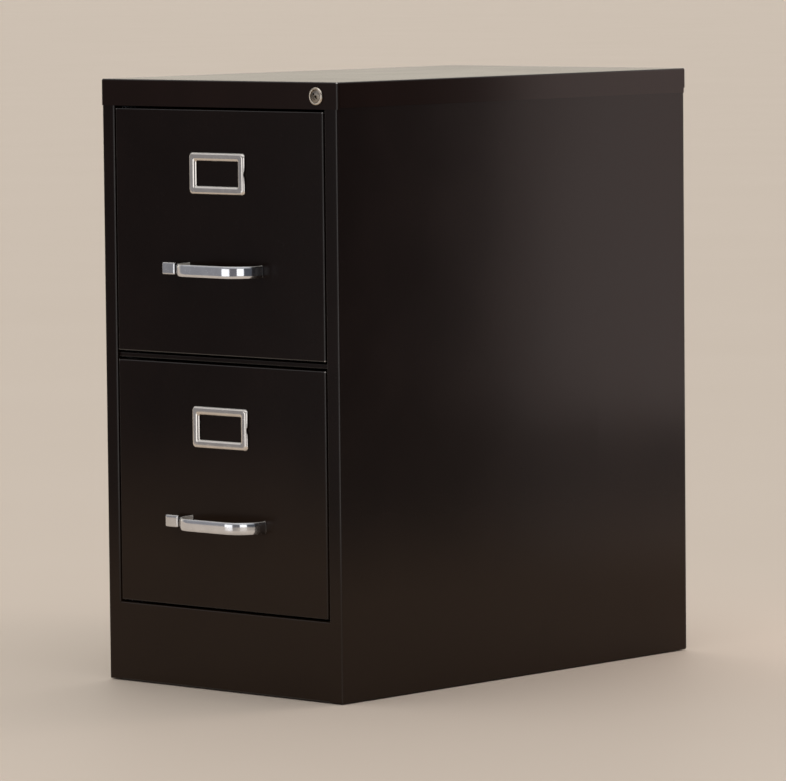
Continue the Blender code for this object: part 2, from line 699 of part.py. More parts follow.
def drawer_head(level, drawer):
    """The front and the liner behind it, two pans nested mouth to mouth."""
    middle_z = FRONT_HEIGHT / 2
    face = pan(2 * FRONT_X, FRONT_HEIGHT, FRONT_FLANGE, lambda u, v, w: (u, w, v + middle_z))
    front = piece(level + "_drawer_front", face, PAINT, drawer)
    slot_x = (-BUTTON_SHIFT - STEM_WIDTH / 2 - STEM_PLAY, -BUTTON_SHIFT + STEM_WIDTH / 2 + LATCH_TRAVEL + STEM_PLAY)
    slot_reach = STEM_HEIGHT / 2 + STEM_PLAY
    slot_z = (LATCH_Z - slot_reach, LATCH_Z + slot_reach)
    cut(front, block(slot_x, (-CUT_PAST, SHEET + CUT_PAST), slot_z))

    nest = SHEET + SEAM
    closing = pan(
        2 * (FRONT_X - nest),
        FRONT_HEIGHT - 2 * nest,
        HEAD_DEPTH - LINER_RIM,
        lambda u, v, w: (u, HEAD_DEPTH - w, v + middle_z),
    )
    liner = piece(level + "_drawer_liner", closing, PAINT, drawer)
    guide_x = (-FRONT_X - CUT_PAST, -FRONT_X + nest + SHEET + CUT_PAST)
    guide_y = (BOLT_Y - SEAM, BOLT_Y + BOLT_THICK + SEAM)
    guide_z = BOLT_HEIGHT / 2 + SEAM
    cut(liner, block(guide_x, guide_y, (LATCH_Z - guide_z, LATCH_Z + guide_z)))
    tab_x = -BUTTON_SHIFT + BOLT_TAIL + SPRING_LENGTH + 2 * SEAM
    tab_y = (BOLT_Y - SPRING_RADIUS, HEAD_DEPTH - SHEET / 2)
    tab_z = (LATCH_Z - SPRING_TAB / 2, LATCH_Z + SPRING_TAB / 2)
    join(liner, block((tab_x, tab_x + SHEET), tab_y, tab_z))


def drawer_latch(level, drawer):
    """A thumb button on a stem, the bolt that it draws and the spring that throws the bolt."""
    at = (-BUTTON_SHIFT, 0, LATCH_Z)
    rows = []
    for inset, level_y in (
        (0, BUTTON_THICK - BUTTON_REACH),
        (0, BUTTON_CROWN - BUTTON_REACH),
        (BUTTON_CROWN / 3, BUTTON_CROWN / 3 - BUTTON_REACH),
        (BUTTON_CROWN, -BUTTON_REACH),
    ):
        ring = rounded(BUTTON_WIDTH - 2 * inset, BUTTON_HEIGHT - 2 * inset, BUTTON_CORNER - inset)
        rows.append([(u, level_y, v) for u, v in ring])
    button = piece(level + "_thumb_latch", loft(rows), CHROME, drawer, at)
    stem_y = (BUTTON_THICK / 2 - BUTTON_REACH, BOLT_Y - SEAM)
    half_x = STEM_WIDTH / 2
    half_z = STEM_HEIGHT / 2
    join(button, block((-half_x, half_x), stem_y, (-half_z, half_z)))

    tip = BUTTON_SHIFT - OPENING_X - BOLT_THROW
    outline = [
        (tip, BOLT_Y),
        (BOLT_TAIL, BOLT_Y),
        (BOLT_TAIL, BOLT_Y + BOLT_THICK),
        (tip + BOLT_THICK, BOLT_Y + BOLT_THICK),
        (tip, BOLT_Y + BOLT_THICK / 2),
    ]
    piece(level + "_latch_bolt", prism(outline, "Z", -BOLT_HEIGHT / 2, BOLT_HEIGHT / 2), ZINC, drawer, at)
    spring_at = (at[0] + BOLT_TAIL + SEAM, BOLT_Y + BOLT_THICK / 2, LATCH_Z)
    spring = coil(SPRING_LENGTH, SPRING_RADIUS - SPRING_WIRE, SPRING_WIRE, SPRING_TURNS)
    piece(level + "_latch_spring", spring, ZINC, drawer, spring_at)


def drawer_fittings(level, drawer):
    """The bow handle and the label holder on the front."""
    leg = (HANDLE_WIDTH - HANDLE_THICK) / 2
    path = [(leg, -SEAM), (leg, -HANDLE_REACH + HANDLE_THICK / 2)]
    path += [(-x, y) for x, y in path[::-1]]
    section = [(-HANDLE_THICK / 2, HANDLE_HEIGHT / 2), (-HANDLE_THICK / 2, -HANDLE_HEIGHT / 2)]
    for k in range(-4, 5):
        section.append((HANDLE_THICK / 2 - HANDLE_CROWN * (k / 4) ** 2, HANDLE_HEIGHT / 2 * k / 4))
    rows = []
    for point, normal in bend_line(path, HANDLE_BEND + HANDLE_THICK / 2, 8):
        rows.append([(point.x + normal.x * n, point.y + normal.y * n, z) for n, z in section])
    at = (HANDLE_SHIFT, 0, FRONT_HEIGHT - HANDLE_DROP)
    piece(level + "_handle", loft(rows), CHROME, drawer, at)

    rows = []
    for share, proud in ((0, 0), (0, LABEL_EDGE / LABEL_PROUD), (0.2, 0.75), (0.45, 1), (0.75, 0.85), (1, 0.4), (1, 0)):
        width = LABEL_WIDTH + (WINDOW_WIDTH - LABEL_WIDTH) * share
        height = LABEL_HEIGHT + (WINDOW_HEIGHT - LABEL_HEIGHT) * share
        corner = LABEL_CORNER + (WINDOW_CORNER - LABEL_CORNER) * share
        rows.append([(u, -SEAM - LABEL_PROUD * proud, v) for u, v in rounded(width, height, corner)])
    at = (0, 0, FRONT_HEIGHT - LABEL_DROP)
    holder = piece(level + "_label_holder", loft(rows, ring=True), CHROME, drawer, at)
    pocket_x = (-WINDOW_WIDTH / 2 - CARD_LAP, LABEL_WIDTH / 2 + CUT_PAST)
    pocket_z = WINDOW_HEIGHT / 2 + CARD_LAP
    cut(holder, block(pocket_x, (-SEAM - CARD_POCKET, CUT_PAST), (-pocket_z, pocket_z)))
    thumb = (LABEL_WIDTH / 2 + THUMB_RADIUS - THUMB_DEPTH, 0)
    cut(holder, rod(THUMB_RADIUS, "Y", -SEAM - LABEL_PROUD - CUT_PAST, CUT_PAST, thumb, 32))


def drawer_tray(level, drawer):
    """The tray with its back, and the follower plate on a rail along its floor."""
    wall_x = TRAY_X - SHEET / 2
    floor_z = TRAY_RISE + SHEET / 2
    lip_z = TRAY_RISE + TRAY_HEIGHT - SHEET / 2
    path = [(TRAY_X - TRAY_LIP, lip_z), (wall_x, lip_z), (wall_x, floor_z)]
    path += [(-x, z) for x, z in path[::-1]]
    tray = piece(level + "_drawer_tray", prism(bent(path), "Y", TRAY_START, TRAY_END), PAINT, drawer)
    catch_y = BAR_Y + BAR_THICK + CATCH_GAP
    catch_z = TRAY_RISE + CATCH_RISE
    catch_x = (TRAY_X - SHEET / 2, TRAY_X + CATCH_REACH)
    join(tray, block(catch_x, (catch_y, catch_y + CATCH_THICK), (catch_z, catch_z + CATCH_HEIGHT)))

    back_x = TRAY_X - SHEET - SEAM - SHEET / 2
    back_y = TRAY_END - BACK_INSET
    path = [(back_x, back_y - BACK_FLANGE), (back_x, back_y - SHEET / 2)]
    path += [(-x, y) for x, y in path[::-1]]
    rear = prism(bent(path), "Z", TRAY_RISE + SHEET + BEND, TRAY_RISE + TRAY_HEIGHT - BACK_DROP)
    piece(level + "_drawer_back", rear, PAINT, drawer)

    seat_z = TRAY_RISE + SHEET + SEAM + SHEET / 2
    track_z = seat_z + TRACK_HEIGHT - SHEET
    half = (TRACK_WIDTH - SHEET) / 2
    path = [(half + TRACK_FLANGE, seat_z), (half, seat_z), (half, track_z)]
    path += [(-x, z) for x, z in path[::-1]]
    track_end = back_y - SHEET - TRACK_BACK
    track = prism(bent(path), "Y", TRAY_START + TRACK_FRONT, track_end)
    piece(level + "_follower_rail", track, ZINC, drawer)

    foot_z = track_z + SHEET / 2 + SEAM
    at = (0, back_y - SHEET - FOLLOWER_REST, foot_z)
    sole = SHEET / 2
    path = [
        (-FOLLOWER_FOOT, sole),
        (0, sole),
        (FOLLOWER_LEAN, FOLLOWER_HEIGHT),
        (FOLLOWER_LEAN + FOLLOWER_HEM, FOLLOWER_HEIGHT),
    ]
    wide = FOLLOWER_WIDTH / 2
    plate = piece(level + "_follower_plate", prism(bent(path), "X", -wide, wide), PAINT, drawer, at)
    runner_bottom = seat_z + SHEET / 2 + RUNNER_PLAY - foot_z
    for side in SIDES.values():
        near = half + SHEET / 2 + RUNNER_PLAY
        runner_x = (side * near, side * (near + RUNNER_WIDTH))
        runner_y = (-FOLLOWER_FOOT, -SHEET - BEND)
        join(plate, block(runner_x, runner_y, (runner_bottom, SHEET / 2)))


for level, base in DRAWER_Z.items():
    drawer = frame(level + "_drawer", (0, 0, base), case)
    drawer_head(level, drawer)
    drawer_latch(level, drawer)
    drawer_fittings(level, drawer)
    drawer_tray(level, drawer)
    for side_name in SIDES:
        slides(level, side_name, drawer)
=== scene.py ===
"""Looks of the two-drawer filing cabinet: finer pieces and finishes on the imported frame, in metres."""

import math

import bmesh
import bpy
from mathutils import Matrix, Vector


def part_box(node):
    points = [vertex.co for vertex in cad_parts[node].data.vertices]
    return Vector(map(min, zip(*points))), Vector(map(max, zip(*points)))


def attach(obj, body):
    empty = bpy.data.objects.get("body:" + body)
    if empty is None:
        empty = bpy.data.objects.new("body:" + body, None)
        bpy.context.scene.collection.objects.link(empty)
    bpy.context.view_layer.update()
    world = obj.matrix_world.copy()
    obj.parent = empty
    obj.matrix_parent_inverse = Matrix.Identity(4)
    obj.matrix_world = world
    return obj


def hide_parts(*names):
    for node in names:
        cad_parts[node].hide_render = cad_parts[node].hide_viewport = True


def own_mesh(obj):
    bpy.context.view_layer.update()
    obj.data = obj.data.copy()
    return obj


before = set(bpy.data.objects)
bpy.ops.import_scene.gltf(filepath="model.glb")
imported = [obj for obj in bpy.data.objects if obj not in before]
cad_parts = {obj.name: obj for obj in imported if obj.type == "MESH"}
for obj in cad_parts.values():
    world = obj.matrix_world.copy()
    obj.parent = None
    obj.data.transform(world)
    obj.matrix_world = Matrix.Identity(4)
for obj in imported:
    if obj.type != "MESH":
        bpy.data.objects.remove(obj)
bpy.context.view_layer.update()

mm = 0.001


def stand(name, data):
    """A new object in the scene."""
    thing = bpy.data.objects.new(name, data)
    bpy.context.scene.collection.objects.link(thing)
    return thing


# The camera stands to the front right, little higher than the cabinet, with a long lens. Its place
# was worked out from the cabinet's own edges.
front_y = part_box("toe_panel")[0].y
aim = Vector((0.003, front_y + 0.30, 0.3367))
turn, rise, lean = (math.radians(angle) for angle in (41.94, 4.73, -0.56))
outward = Vector((math.sin(turn) * math.cos(rise), -math.cos(turn) * math.cos(rise), math.sin(rise)))
level = Vector((math.cos(turn), math.sin(turn), 0))
across = level * math.cos(lean) + outward.cross(level) * math.sin(lean)
focal_pixels = 5690
picture_pixels = 786
distance = 6.91
lens = bpy.data.cameras.new("lens")
lens.sensor_width = 36
lens.lens = focal_pixels / picture_pixels * lens.sensor_width
lens.clip_end = 300
camera = stand("camera", lens)
camera.matrix_world = Matrix((across, outward.cross(across), outward)).transposed().to_4x4()
camera.location = aim + outward * distance
bpy.context.scene.camera = camera
bpy.context.scene.view_settings.view_transform = "Standard"


# A plain pale floor under soft studio light: a room that is paler behind the cabinet and overhead,
# and large soft boxes that show as tall bands in the bright fittings.
class Tone:
    """A socket among a finish's nodes. Expressions on it add Math nodes; make adds any other node."""

    def __init__(self, tree, socket=None):
        self.tree = tree
        self.socket = socket

    def make(self, kind, settings=None, sockets=None, out=0):
        """A new node: its settings first, then the values or links of its sockets."""
        node = self.tree.nodes.new("ShaderNode" + kind)
        for name, value in (settings or {}).items():
            setattr(node, name, value)
        fill(node, sockets or {})
        return Tone(self.tree, node.outputs[out])

    def sums(self, operation, *terms):
        return self.make("Math", {"operation": operation}, dict(enumerate(terms)))

    def most(self, other):
        return self.sums("MAXIMUM", self, other)

    def least(self, other):
        return self.sums("MINIMUM", self, other)

    def parts(self):
        """The x, y and z of a vector."""
        node = self.make("SeparateXYZ", None, {0: self}).socket.node
        return [Tone(self.tree, part) for part in node.outputs]

    def bumped(self, strength, depth, under=None):
        """A normal with this value as its relief, laid over another normal where one is given."""
        sockets = {"Strength": strength, "Distance": depth, "Height": self}
        if under:
            sockets["Normal"] = under
        return self.make("Bump", None, sockets)

    def mixed(self, low, high):
        """A colour between two, by this value."""
        sides = {0: self}
        for index, colour in ((6, low), (7, high)):
            sides[index] = colour if isinstance(colour, Tone) else (*colour, 1)
        return self.make("Mix", {"data_type": "RGBA"}, sides, 2)

    def over(self, low, high):
        """0 where this value is below low, 1 above high, smooth between."""
        settings = {"interpolation_type": "SMOOTHSTEP"}
        return self.make("MapRange", settings, {"Value": self, "From Min": low, "From Max": high})

    def __add__(self, other):
        return self.sums("ADD", self, other)

    __radd__ = __add__

    def __sub__(self, other):
        return self.sums("SUBTRACT", self, other)

    def __rsub__(self, other):
        return self.sums("SUBTRACT", other, self)

    def __mul__(self, other):
        return self.sums("MULTIPLY", self, other)


def fill(node, sockets):
    """Sets a node's sockets to plain values, or links them to Tones."""
    for name, value in sockets.items():
        if isinstance(value, Tone):
            value.tree.links.new(value.socket, node.inputs[name])
        else:
            node.inputs[name].default_value = value


def begun(name):
    """A new material and a Tone to build on."""
    material = bpy.data.materials.new(name)
    material.use_nodes = True
    return material, Tone(material.node_tree)


def done(material, sockets):
    """The material with its shader's sockets filled."""
    fill(material.node_tree.nodes["Principled BSDF"], sockets)
    return material


def ground(tone, scale, detail=3.0, rough=0.5, stretch=None, twist=0.0):
    """Uneven cloudy values over a piece, drawn out along an axis where stretch says so."""
    where = tone.make("TexCoord", out="Object")
    if stretch:
        where = tone.make("Mapping", None, {"Vector": where, "Scale": stretch})
    sockets = {"Vector": where, "Scale": scale, "Detail": detail, "Roughness": rough, "Distortion": twist}
    return tone.make("TexNoise", None, sockets)


near = 2.5
far = 90
fade = 0.7
floor_corners = [(-far, -near, 0), (near, -near, 0), (near, far, 0), (-far, far, 0)]
floor_mesh = bpy.data.meshes.new("floor")
floor_mesh.from_pydata(floor_corners, [], [(0, 1, 2, 3)])
floor = stand("floor", floor_mesh)
pale, tone = begun("pale_floor")
right, back, _ = tone.make("TexCoord", out="Object").parts()
floor_mesh.materials.append(done(pale, {
    "Roughness": 0.6,
    "Specular IOR Level": 0.1,
    "Base Color": ground(tone, 1.3).mixed((0.60, 0.51, 0.42), (0.63, 0.54, 0.45)),
    "Alpha": right.over(near, near - fade) * back.over(-near, fade - near),
}))

room = bpy.data.worlds.new("room")
bpy.context.scene.world = room
room.use_nodes = True
tone = Tone(room.node_tree)
way = tone.make("TexCoord", out="Generated")
behind = tone.make("VectorMath", {"operation": "DOT_PRODUCT"}, {0: way, 1: (-0.67, 0.74, 0)}, "Value")
leftward = tone.make("VectorMath", {"operation": "DOT_PRODUCT"}, {0: way, 1: (-0.87, -0.5, 0)}, "Value")
overhead = way.parts()[2]
glow = [(0, (0.08, 0.086, 0.10)), (0.30, (0.09, 0.095, 0.11)), (0.46, (0.165, 0.155, 0.165))]
glow += [(0.72, (0.17, 0.16, 0.17)), (0.93, (0.27, 0.265, 0.28))]
walls = tone.make("ValToRGB", None, {0: leftward * 0.5 + 0.5})
stops = walls.socket.node.color_ramp.elements
while len(stops) < len(glow):
    stops.new(0.5)
for stop, (place, colour) in zip(stops, glow):
    stop.position = place
    stop.color = (*colour, 1)
walls = behind.over(0.3, 0.85).mixed(walls, (0.96, 0.88, 0.75))
sky = overhead.over(0.2, 0.9).mixed(walls, (1.2, 1.2, 1.22))
fill(room.node_tree.nodes["Background"], {"Color": sky})


def soft_box(name, facing, angle, distance, height, width, tall, brightness, colour=(1, 1, 1)):
    """A soft box that faces a point; angle runs from straight in front of it towards the right."""
    lamp = bpy.data.lights.new(name, "AREA")
    lamp.shape = "RECTANGLE"
    lamp.size = width
    lamp.size_y = tall
    lamp.energy = brightness * math.pi * width * tall
    lamp.color = colour
    box = stand(name, lamp)
    bearing = math.radians(angle)
    place = Vector((distance * math.sin(bearing), -distance * math.cos(bearing), height))
    box.location = Vector((*facing, 0)) + place
    toward = Vector((0, 0, height)) - place
    box.rotation_euler = toward.to_track_quat("-Z", "Y").to_euler()
    box.visible_camera = False


handle_at = (0.03, front_y)
side_at = (0.19, front_y + 0.595)
warm = (1, 0.82, 0.77)
soft_box("left_box", handle_at, -19, 3.2, 0.4, 2.2, 1.2, 1.1)
soft_box("right_box", handle_at, 48, 3.2, 0.7, 1.66, 1.5, 1.3)
soft_box("side_box", side_at, 138, 0.6, 0.64, 0.34, 0.81, 2.6, warm)
soft_box("side_fill", side_at, 138, 0.6, 0.15, 0.34, 0.2, 0.75, warm)


# Each side of the case is one sheet of steel, folded into a wall, a stile with a return at the front
# and a flange at the back, then dipped and baked in black enamel.
steel = 1.0 * mm
half = steel / 2
fold = 1.0 * mm
flange = 13 * mm
past = 1.0 * mm
clear = 0.3 * mm
hair = 0.02 * mm
black = (0.0062, 0.0028, 0.0020)


def shaded(colour, share):
    """A colour made lighter or darker as a whole."""
    return tuple(share * part for part in colour)


def enamel(name, rough=0.25, wave=0.22, uneven=1.0, shade=1.0, painted_floor_reflection_top=0.25):
    """Baked black enamel: a faint orange peel, dust where it lies level, painted highlights on folds and
    corners, and a painted reflection of the floor low down.
    """
    material, tone = begun(name)
    clouds = ground(tone, 6.0, 5.0, 0.6, twist=0.4)
    specks = ground(tone, 320.0, 2.0)
    facing = tone.make("NewGeometry", out="Normal")
    up = facing.parts()[2]
    x, y, z = tone.make("VectorMath", {"operation": "ABSOLUTE"}, {0: facing}).parts()
    folds = (1 - x.most(y).most(z)).over(0.01, 0.12)
    # Rounded corners, where a surface turns all three ways, get a painted highlight below.
    corners = x.least(y).least(z).over(0.08, 0.3)
    height = tone.make("TexCoord", out="Object").parts()[2]
    # A painted reflection of the floor: from this height down the black turns lighter and warmer, in
    # patches.
    low = height.over(painted_floor_reflection_top, 0.4 * painted_floor_reflection_top) * (0.75 + clouds * 0.5)
    # Folds that don't face up get a painted highlight, weaker towards the floor; a clear coat also lies on
    # them.
    wear_and_painted_highlight = folds * (1 - up) * (1 - low * 0.7)
    dust = up.over(0.75, 0.98) * clouds.over(0.35, 0.7)
    coat = shaded(black, shade)
    colour = clouds.over(0.3, 0.75).mixed(coat, shaded(coat, 1.35))
    # Painted reflection of the floor, lighter and warmer low down.
    colour = low.mixed(colour, (0.021, 0.0122, 0.0074))
    colour = (dust * 0.35 * uneven + specks.over(0.66, 0.8) * 0.12).mixed(colour, (0.030, 0.027, 0.024))
    # Painted highlight: the folds' black lifted to a dark grey.
    colour = (wear_and_painted_highlight * (0.55 + clouds * 0.5)).mixed(colour, (0.042, 0.038, 0.036))
    # Painted highlight: a pale glint on the rounded corners, none low down.
    colour = (corners * clouds.over(0.3, 0.5) * (1 - low)).mixed(colour, (0.50, 0.47, 0.44))
    peel = ground(tone, 900.0, 1.0).bumped(0.05 * uneven, 0.2 * mm)
    return done(material, {
        "Base Color": colour,
        "Roughness": rough + (clouds * 0.09 + dust * 0.1 - 0.05) * uneven,
        "Specular IOR Level": 0.11,
        "Coat Weight": wear_and_painted_highlight * 0.6,
        "Coat Roughness": 0.16,
        "Normal": ground(tone, 4.5, 1.0).bumped(wave, 3 * mm, peel),
    })


def at_level(axis, a, b, level):
    """A point at a level along one axis; a and b fill the other two in their order."""
    return {"X": (level, a, b), "Y": (a, level, b), "Z": (a, b, level)}[axis]


def bridge(shape, low, high):
    """Faces between two loops of vertices, where a loop of one vertex is a pole."""
    for k in range(max(len(low), len(high))):
        corners = [low[k % len(low)], low[(k + 1) % len(low)]]
        corners += [high[(k + 1) % len(high)], high[k % len(high)]]
        shape.faces.new(list(dict.fromkeys(corners)))


def loft(rows, ring=False):
    """A solid through loops of points; a ring runs from the last loop back to the first."""
    shape = bmesh.new()
    loops = [[shape.verts.new(point) for point in row] for row in rows]
    for low, high in zip(loops, loops[1:]):
        bridge(shape, low, high)
    if ring:
        bridge(shape, loops[-1], loops[0])
        return shape
    for end in (loops[0], loops[-1]):
        if len(end) > 2:
            shape.faces.new(end)
    return shape


def prism(outline, axis, start, end):
    """An outline drawn out along an axis."""
    return loft([[at_level(axis, a, b, level) for a, b in outline] for level in (start, end)])


def block(x, y, z):
    """A box between the two values given for each axis."""
    return prism([(x[0], y[0]), (x[1], y[0]), (x[1], y[1]), (x[0], y[1])], "Z", *z)


def fold_line(path, radius, steps):
    """Points and left-hand normals along a path whose corners are rounded to a radius."""
    line = []
    for i, corner in enumerate(path):
        here = Vector(corner)
        before = (here - Vector(path[i - 1])).normalized() if i else None
        after = (Vector(path[i + 1]) - here).normalized() if i + 1 < len(path) else None
        if before is None or after is None:
            along = before or after
            line.append((here, Vector((-along.y, along.x))))
            continue
        turning = math.atan2(before.x * after.y - before.y * after.x, before.dot(after))
        hand = math.copysign(1, turning)
        normal = Vector((-before.y, before.x))
        start = here - before * radius * math.tan(abs(turning) / 2)
        centre = start + normal * hand * radius
        for k in range(steps + 1):
            turned_normal = normal.copy()
            turned_normal.rotate(Matrix.Rotation(turning * k / steps, 2))
            line.append((centre - turned_normal * hand * radius, turned_normal))
    return line


def folded(path, thick=steel, inside=fold, steps=7):
    """Outline of a sheet folded along a mid-line."""
    line = fold_line(path, inside + thick / 2, steps)
    near = [point + normal * thick / 2 for point, normal in line]
    far = [point - normal * thick / 2 for point, normal in line]
    return [tuple(point) for point in near + far[::-1]]


def mesh_of(name, shape):
    """A mesh from a shape, its faces turned outward."""
    mesh = bpy.data.meshes.new(name)
    bmesh.ops.recalc_face_normals(shape, faces=shape.faces)
    shape.to_mesh(mesh)
    shape.free()
    return mesh


def together(shapes):
    """Several shapes as one, each still closed by itself."""
    whole = bmesh.new()
    for shape in shapes:
        passing = mesh_of("passing", shape)
        whole.from_mesh(passing)
        bpy.data.meshes.remove(passing)
    return whole


def made(name, shape, look, body, nodes=(), cuts=(), joins=(), edge=0):
    """A finished piece: cut and joined, its edges taken off, smooth, dressed and riding on its body."""
    piece = stand(name, mesh_of(name, shape))
    tools = []
    for operation, shapes in (("UNION", joins), ("DIFFERENCE", cuts)):
        if shapes:
            tool = stand(name + "_tool", mesh_of(name, together(shapes)))
            tools.append(tool)
            step = piece.modifiers.new(operation, "BOOLEAN")
            step.operation = operation
            step.solver = "EXACT"
            step.use_self = True
            step.object = tool
    if edge:
        step = piece.modifiers.new("edge", "BEVEL")
        step.width = edge
        step.segments = 2
        step.limit_method = "ANGLE"
        step.angle_limit = math.radians(50)
        step.use_clamp_overlap = False
    if piece.modifiers:
        shaped = piece.evaluated_get(bpy.context.evaluated_depsgraph_get())
        mesh = bpy.data.meshes.new_from_object(shaped)
        piece.modifiers.clear()
        piece.data = mesh
        for tool in tools:
            bpy.data.objects.remove(tool)
    piece.data.shade_smooth()
    piece.data.set_sharp_from_angle(angle=math.radians(44))
    even = piece.modifiers.new("even", "WEIGHTED_NORMAL")
    even.keep_sharp = True
    even.weight = 80
    piece.data.materials.clear()
    piece.data.materials.append(look)
    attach(piece, body)
    if nodes:
        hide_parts(*nodes)
    return piece


def middle_of(node):
    """The middle of a node's box."""
    return [(a + b) / 2 for a, b in zip(*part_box(node))]


sides = {"left": -1, "right": 1}
case_paint = enamel("case_enamel")
wall_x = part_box("right_side_panel")[1].x
stile_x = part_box("right_side_panel")[0].x
stile_back = front_y + 14 * mm
corner_x = wall_x - steel - fold
cap_low, cap_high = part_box("top_cap")
header_z = cap_low.z
toe_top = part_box("toe_panel")[1].z
for name, side in sides.items():
    node = name + "_side_panel"
    low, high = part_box(node)
    path = [
        (stile_x + half, stile_back),
        (stile_x + half, low.y + half),
        (wall_x - half, low.y + half),
        (wall_x - half, high.y - half),
        (wall_x - flange, high.y - half),
    ]
    wall = prism(folded([(side * x, y) for x, y in path]), "Z", low.z, high.z)
    under_header = [
        (wall_x + past, low.y - past),
        (wall_x + past, low.y + steel + fold),
        (corner_x, low.y + steel + fold),
        (corner_x, stile_back + past),
        (stile_x - past, stile_back + past),
        (stile_x - past, low.y - past),
    ]
    notch = prism([(side * x, y) for x, y in under_header], "Z", header_z - hair, high.z + past)
    stile_end = block(
        (side * (stile_x - past), side * corner_x),
        (low.y - past, stile_back + past),
        (low.z - past, toe_top),
    )
    made(name + "_side_sheet", wall, case_paint, "case", [node], cuts=[notch, stile_end])


# The back is a sheet lapped over the flanges of the sides, spot welded down both edges, with its foot
# folded forward for the glides.
low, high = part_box("back_panel")
glide_boxes = {name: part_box(name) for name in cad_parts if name.endswith("_glide")}
glide_at = {name: (a + b) / 2 for name, (a, b) in glide_boxes.items()}


def turned(profile, axis, centre=(0, 0), steps=32, ring=False):
    """A profile of (radius, level) points turned about an axis."""
    rows = []
    for radius, level in profile:
        angles = [math.tau * k / steps for k in range(steps if radius else 1)]
        loop = [(centre[0] + radius * math.cos(a), centre[1] + radius * math.sin(a)) for a in angles]
        rows.append([at_level(axis, a, b, level) for a, b in loop])
    return loft(rows, ring)


def rod(radius, axis, start, end, centre=(0, 0), steps=24):
    """A round bar with flat ends."""
    return turned([(0, start), (radius, start), (radius, end), (0, end)], axis, centre, steps)


def round_slot(middle, length, width, axis, start, end, crosswise=False, steps=6):
    """A bar with round ends; its length lies along the first of the two other axes, or else the second."""
    outline = []
    reach = (length - width) / 2
    for hand in (1, -1):
        for k in range(steps + 1):
            angle = math.radians(-90 + 180 * k / steps) + (0 if hand > 0 else math.pi)
            point = (hand * reach + width / 2 * math.cos(angle), width / 2 * math.sin(angle))
            a, b = point[::-1] if crosswise else point
            outline.append((middle[0] + a, middle[1] + b))
    return prism(outline, axis, start, end)


def stem_holes(row, foot):
    """Holes in a foot for the stems of the front or the rear glides."""
    places = [at for name, at in glide_at.items() if name.startswith(row)]
    return [rod(3.3 * mm, "Z", foot - past, foot + steel + past, (at.x, at.y)) for at in places]


foot_y = low.y
path = [(high.y - half, high.z), (high.y - half, low.z + half), (foot_y, low.z + half)]
clear_x = wall_x - flange - clear
cuts = []
for side in sides.values():
    cuts.append(block(
        (side * clear_x, side * (wall_x + past)),
        (foot_y - past, high.y - steel - 0.15 * mm),
        (low.z - past, low.z + steel + fold + past),
    ))
cuts += stem_holes("rear", low.z)
weld_first = 60 * mm
weld_pitch = 75 * mm
dimple = [(0, past), (3 * mm, past), (2.6 * mm, -0.15 * mm), (0, -0.25 * mm)]
for side in sides.values():
    for k in range(9):
        spot = (side * (wall_x - 7 * mm), weld_first + weld_pitch * k)
        cuts.append(turned([(radius, high.y + depth) for radius, depth in dimple], "Y", spot, 20))
back = prism(folded(path), "X", low.x, high.x)
made("back_sheet", back, case_paint, "case", ["back_panel"], cuts=cuts)

# The toe panel closes the front below the drawers: a ledge above, a foot below for the front glides,
# and flat ears that run on under the stiles to the corners.
low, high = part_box("toe_panel")
between = stile_x - clear
path = [
    (low.y + 20 * mm, high.z - half),
    (low.y + half, high.z - half),
    (low.y + half, low.z + half),
    (high.y, low.z + half),
]
toe = prism(folded(path), "X", -between, between)
made("toe_sheet", toe, case_paint, "case", ["toe_panel"], cuts=stem_holes("front", low.z))
ears = []
for side in sides.values():
    ear_x = (side * between, side * (corner_x - hair))
    ears.append(block(ear_x, (low.y, low.y + steel), (low.z, high.z - hair)))
made("toe_ears", together(ears), case_paint, "case")

# A channel of the same sheet ties the two stiles together between the drawers. It is set back behind
# their faces and welded to their returns.
low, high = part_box("middle_rail")
path = [
    (high.y, high.z - half),
    (low.y + half, high.z - half),
    (low.y + half, low.z + half),
    (high.y, low.z + half),
]
made("rail_channel", prism(folded(path), "X", low.x, high.x), case_paint, "case", ["middle_rail"])


# The cap is a shallow pan of the same sheet. Its front skirt is the header over the drawers, wrapped
# a little round each corner, with a slit where the lower side skirt begins.
def rounded(width, height, corner, steps=6):
    """A rounded rectangle about the middle."""
    points = []
    for quarter, (a, b) in enumerate(((1, 1), (-1, 1), (-1, -1), (1, -1))):
        for k in range(steps + 1):
            angle = math.radians(90) * (quarter + k / steps)
            along = a * (width / 2 - corner) + corner * math.cos(angle)
            up = b * (height / 2 - corner) + corner * math.sin(angle)
            points.append((along, up))
    return points


def pan(width, height, depth, place, steps=7):
    """A shallow open box of sheet; place puts (across, up, behind the face) in space."""
    outside = fold + steel

    def skin(inset, radius):
        rows = [(inset, depth)]
        for k in range(steps + 1):
            angle = math.radians(90) * k / steps
            rows.append((inset + radius * (1 - math.cos(angle)), inset + radius * (1 - math.sin(angle))))
        loops = []
        for i, w in rows:
            ring = rounded(width - 2 * i, height - 2 * i, max(outside - i, 0.2 * mm), steps)
            loops.append([place(u, v, w) for u, v in ring])
        return loops

    shape = bmesh.new()
    rims = []
    for inset, radius in ((0, outside), (steel, fold)):
        loops = [[shape.verts.new(point) for point in row] for row in skin(inset, radius)]
        for near, far in zip(loops, loops[1:]):
            bridge(shape, near, far)
        shape.faces.new(loops[-1])
        rims.append(loops[0])
    bridge(shape, *rims)
    return shape
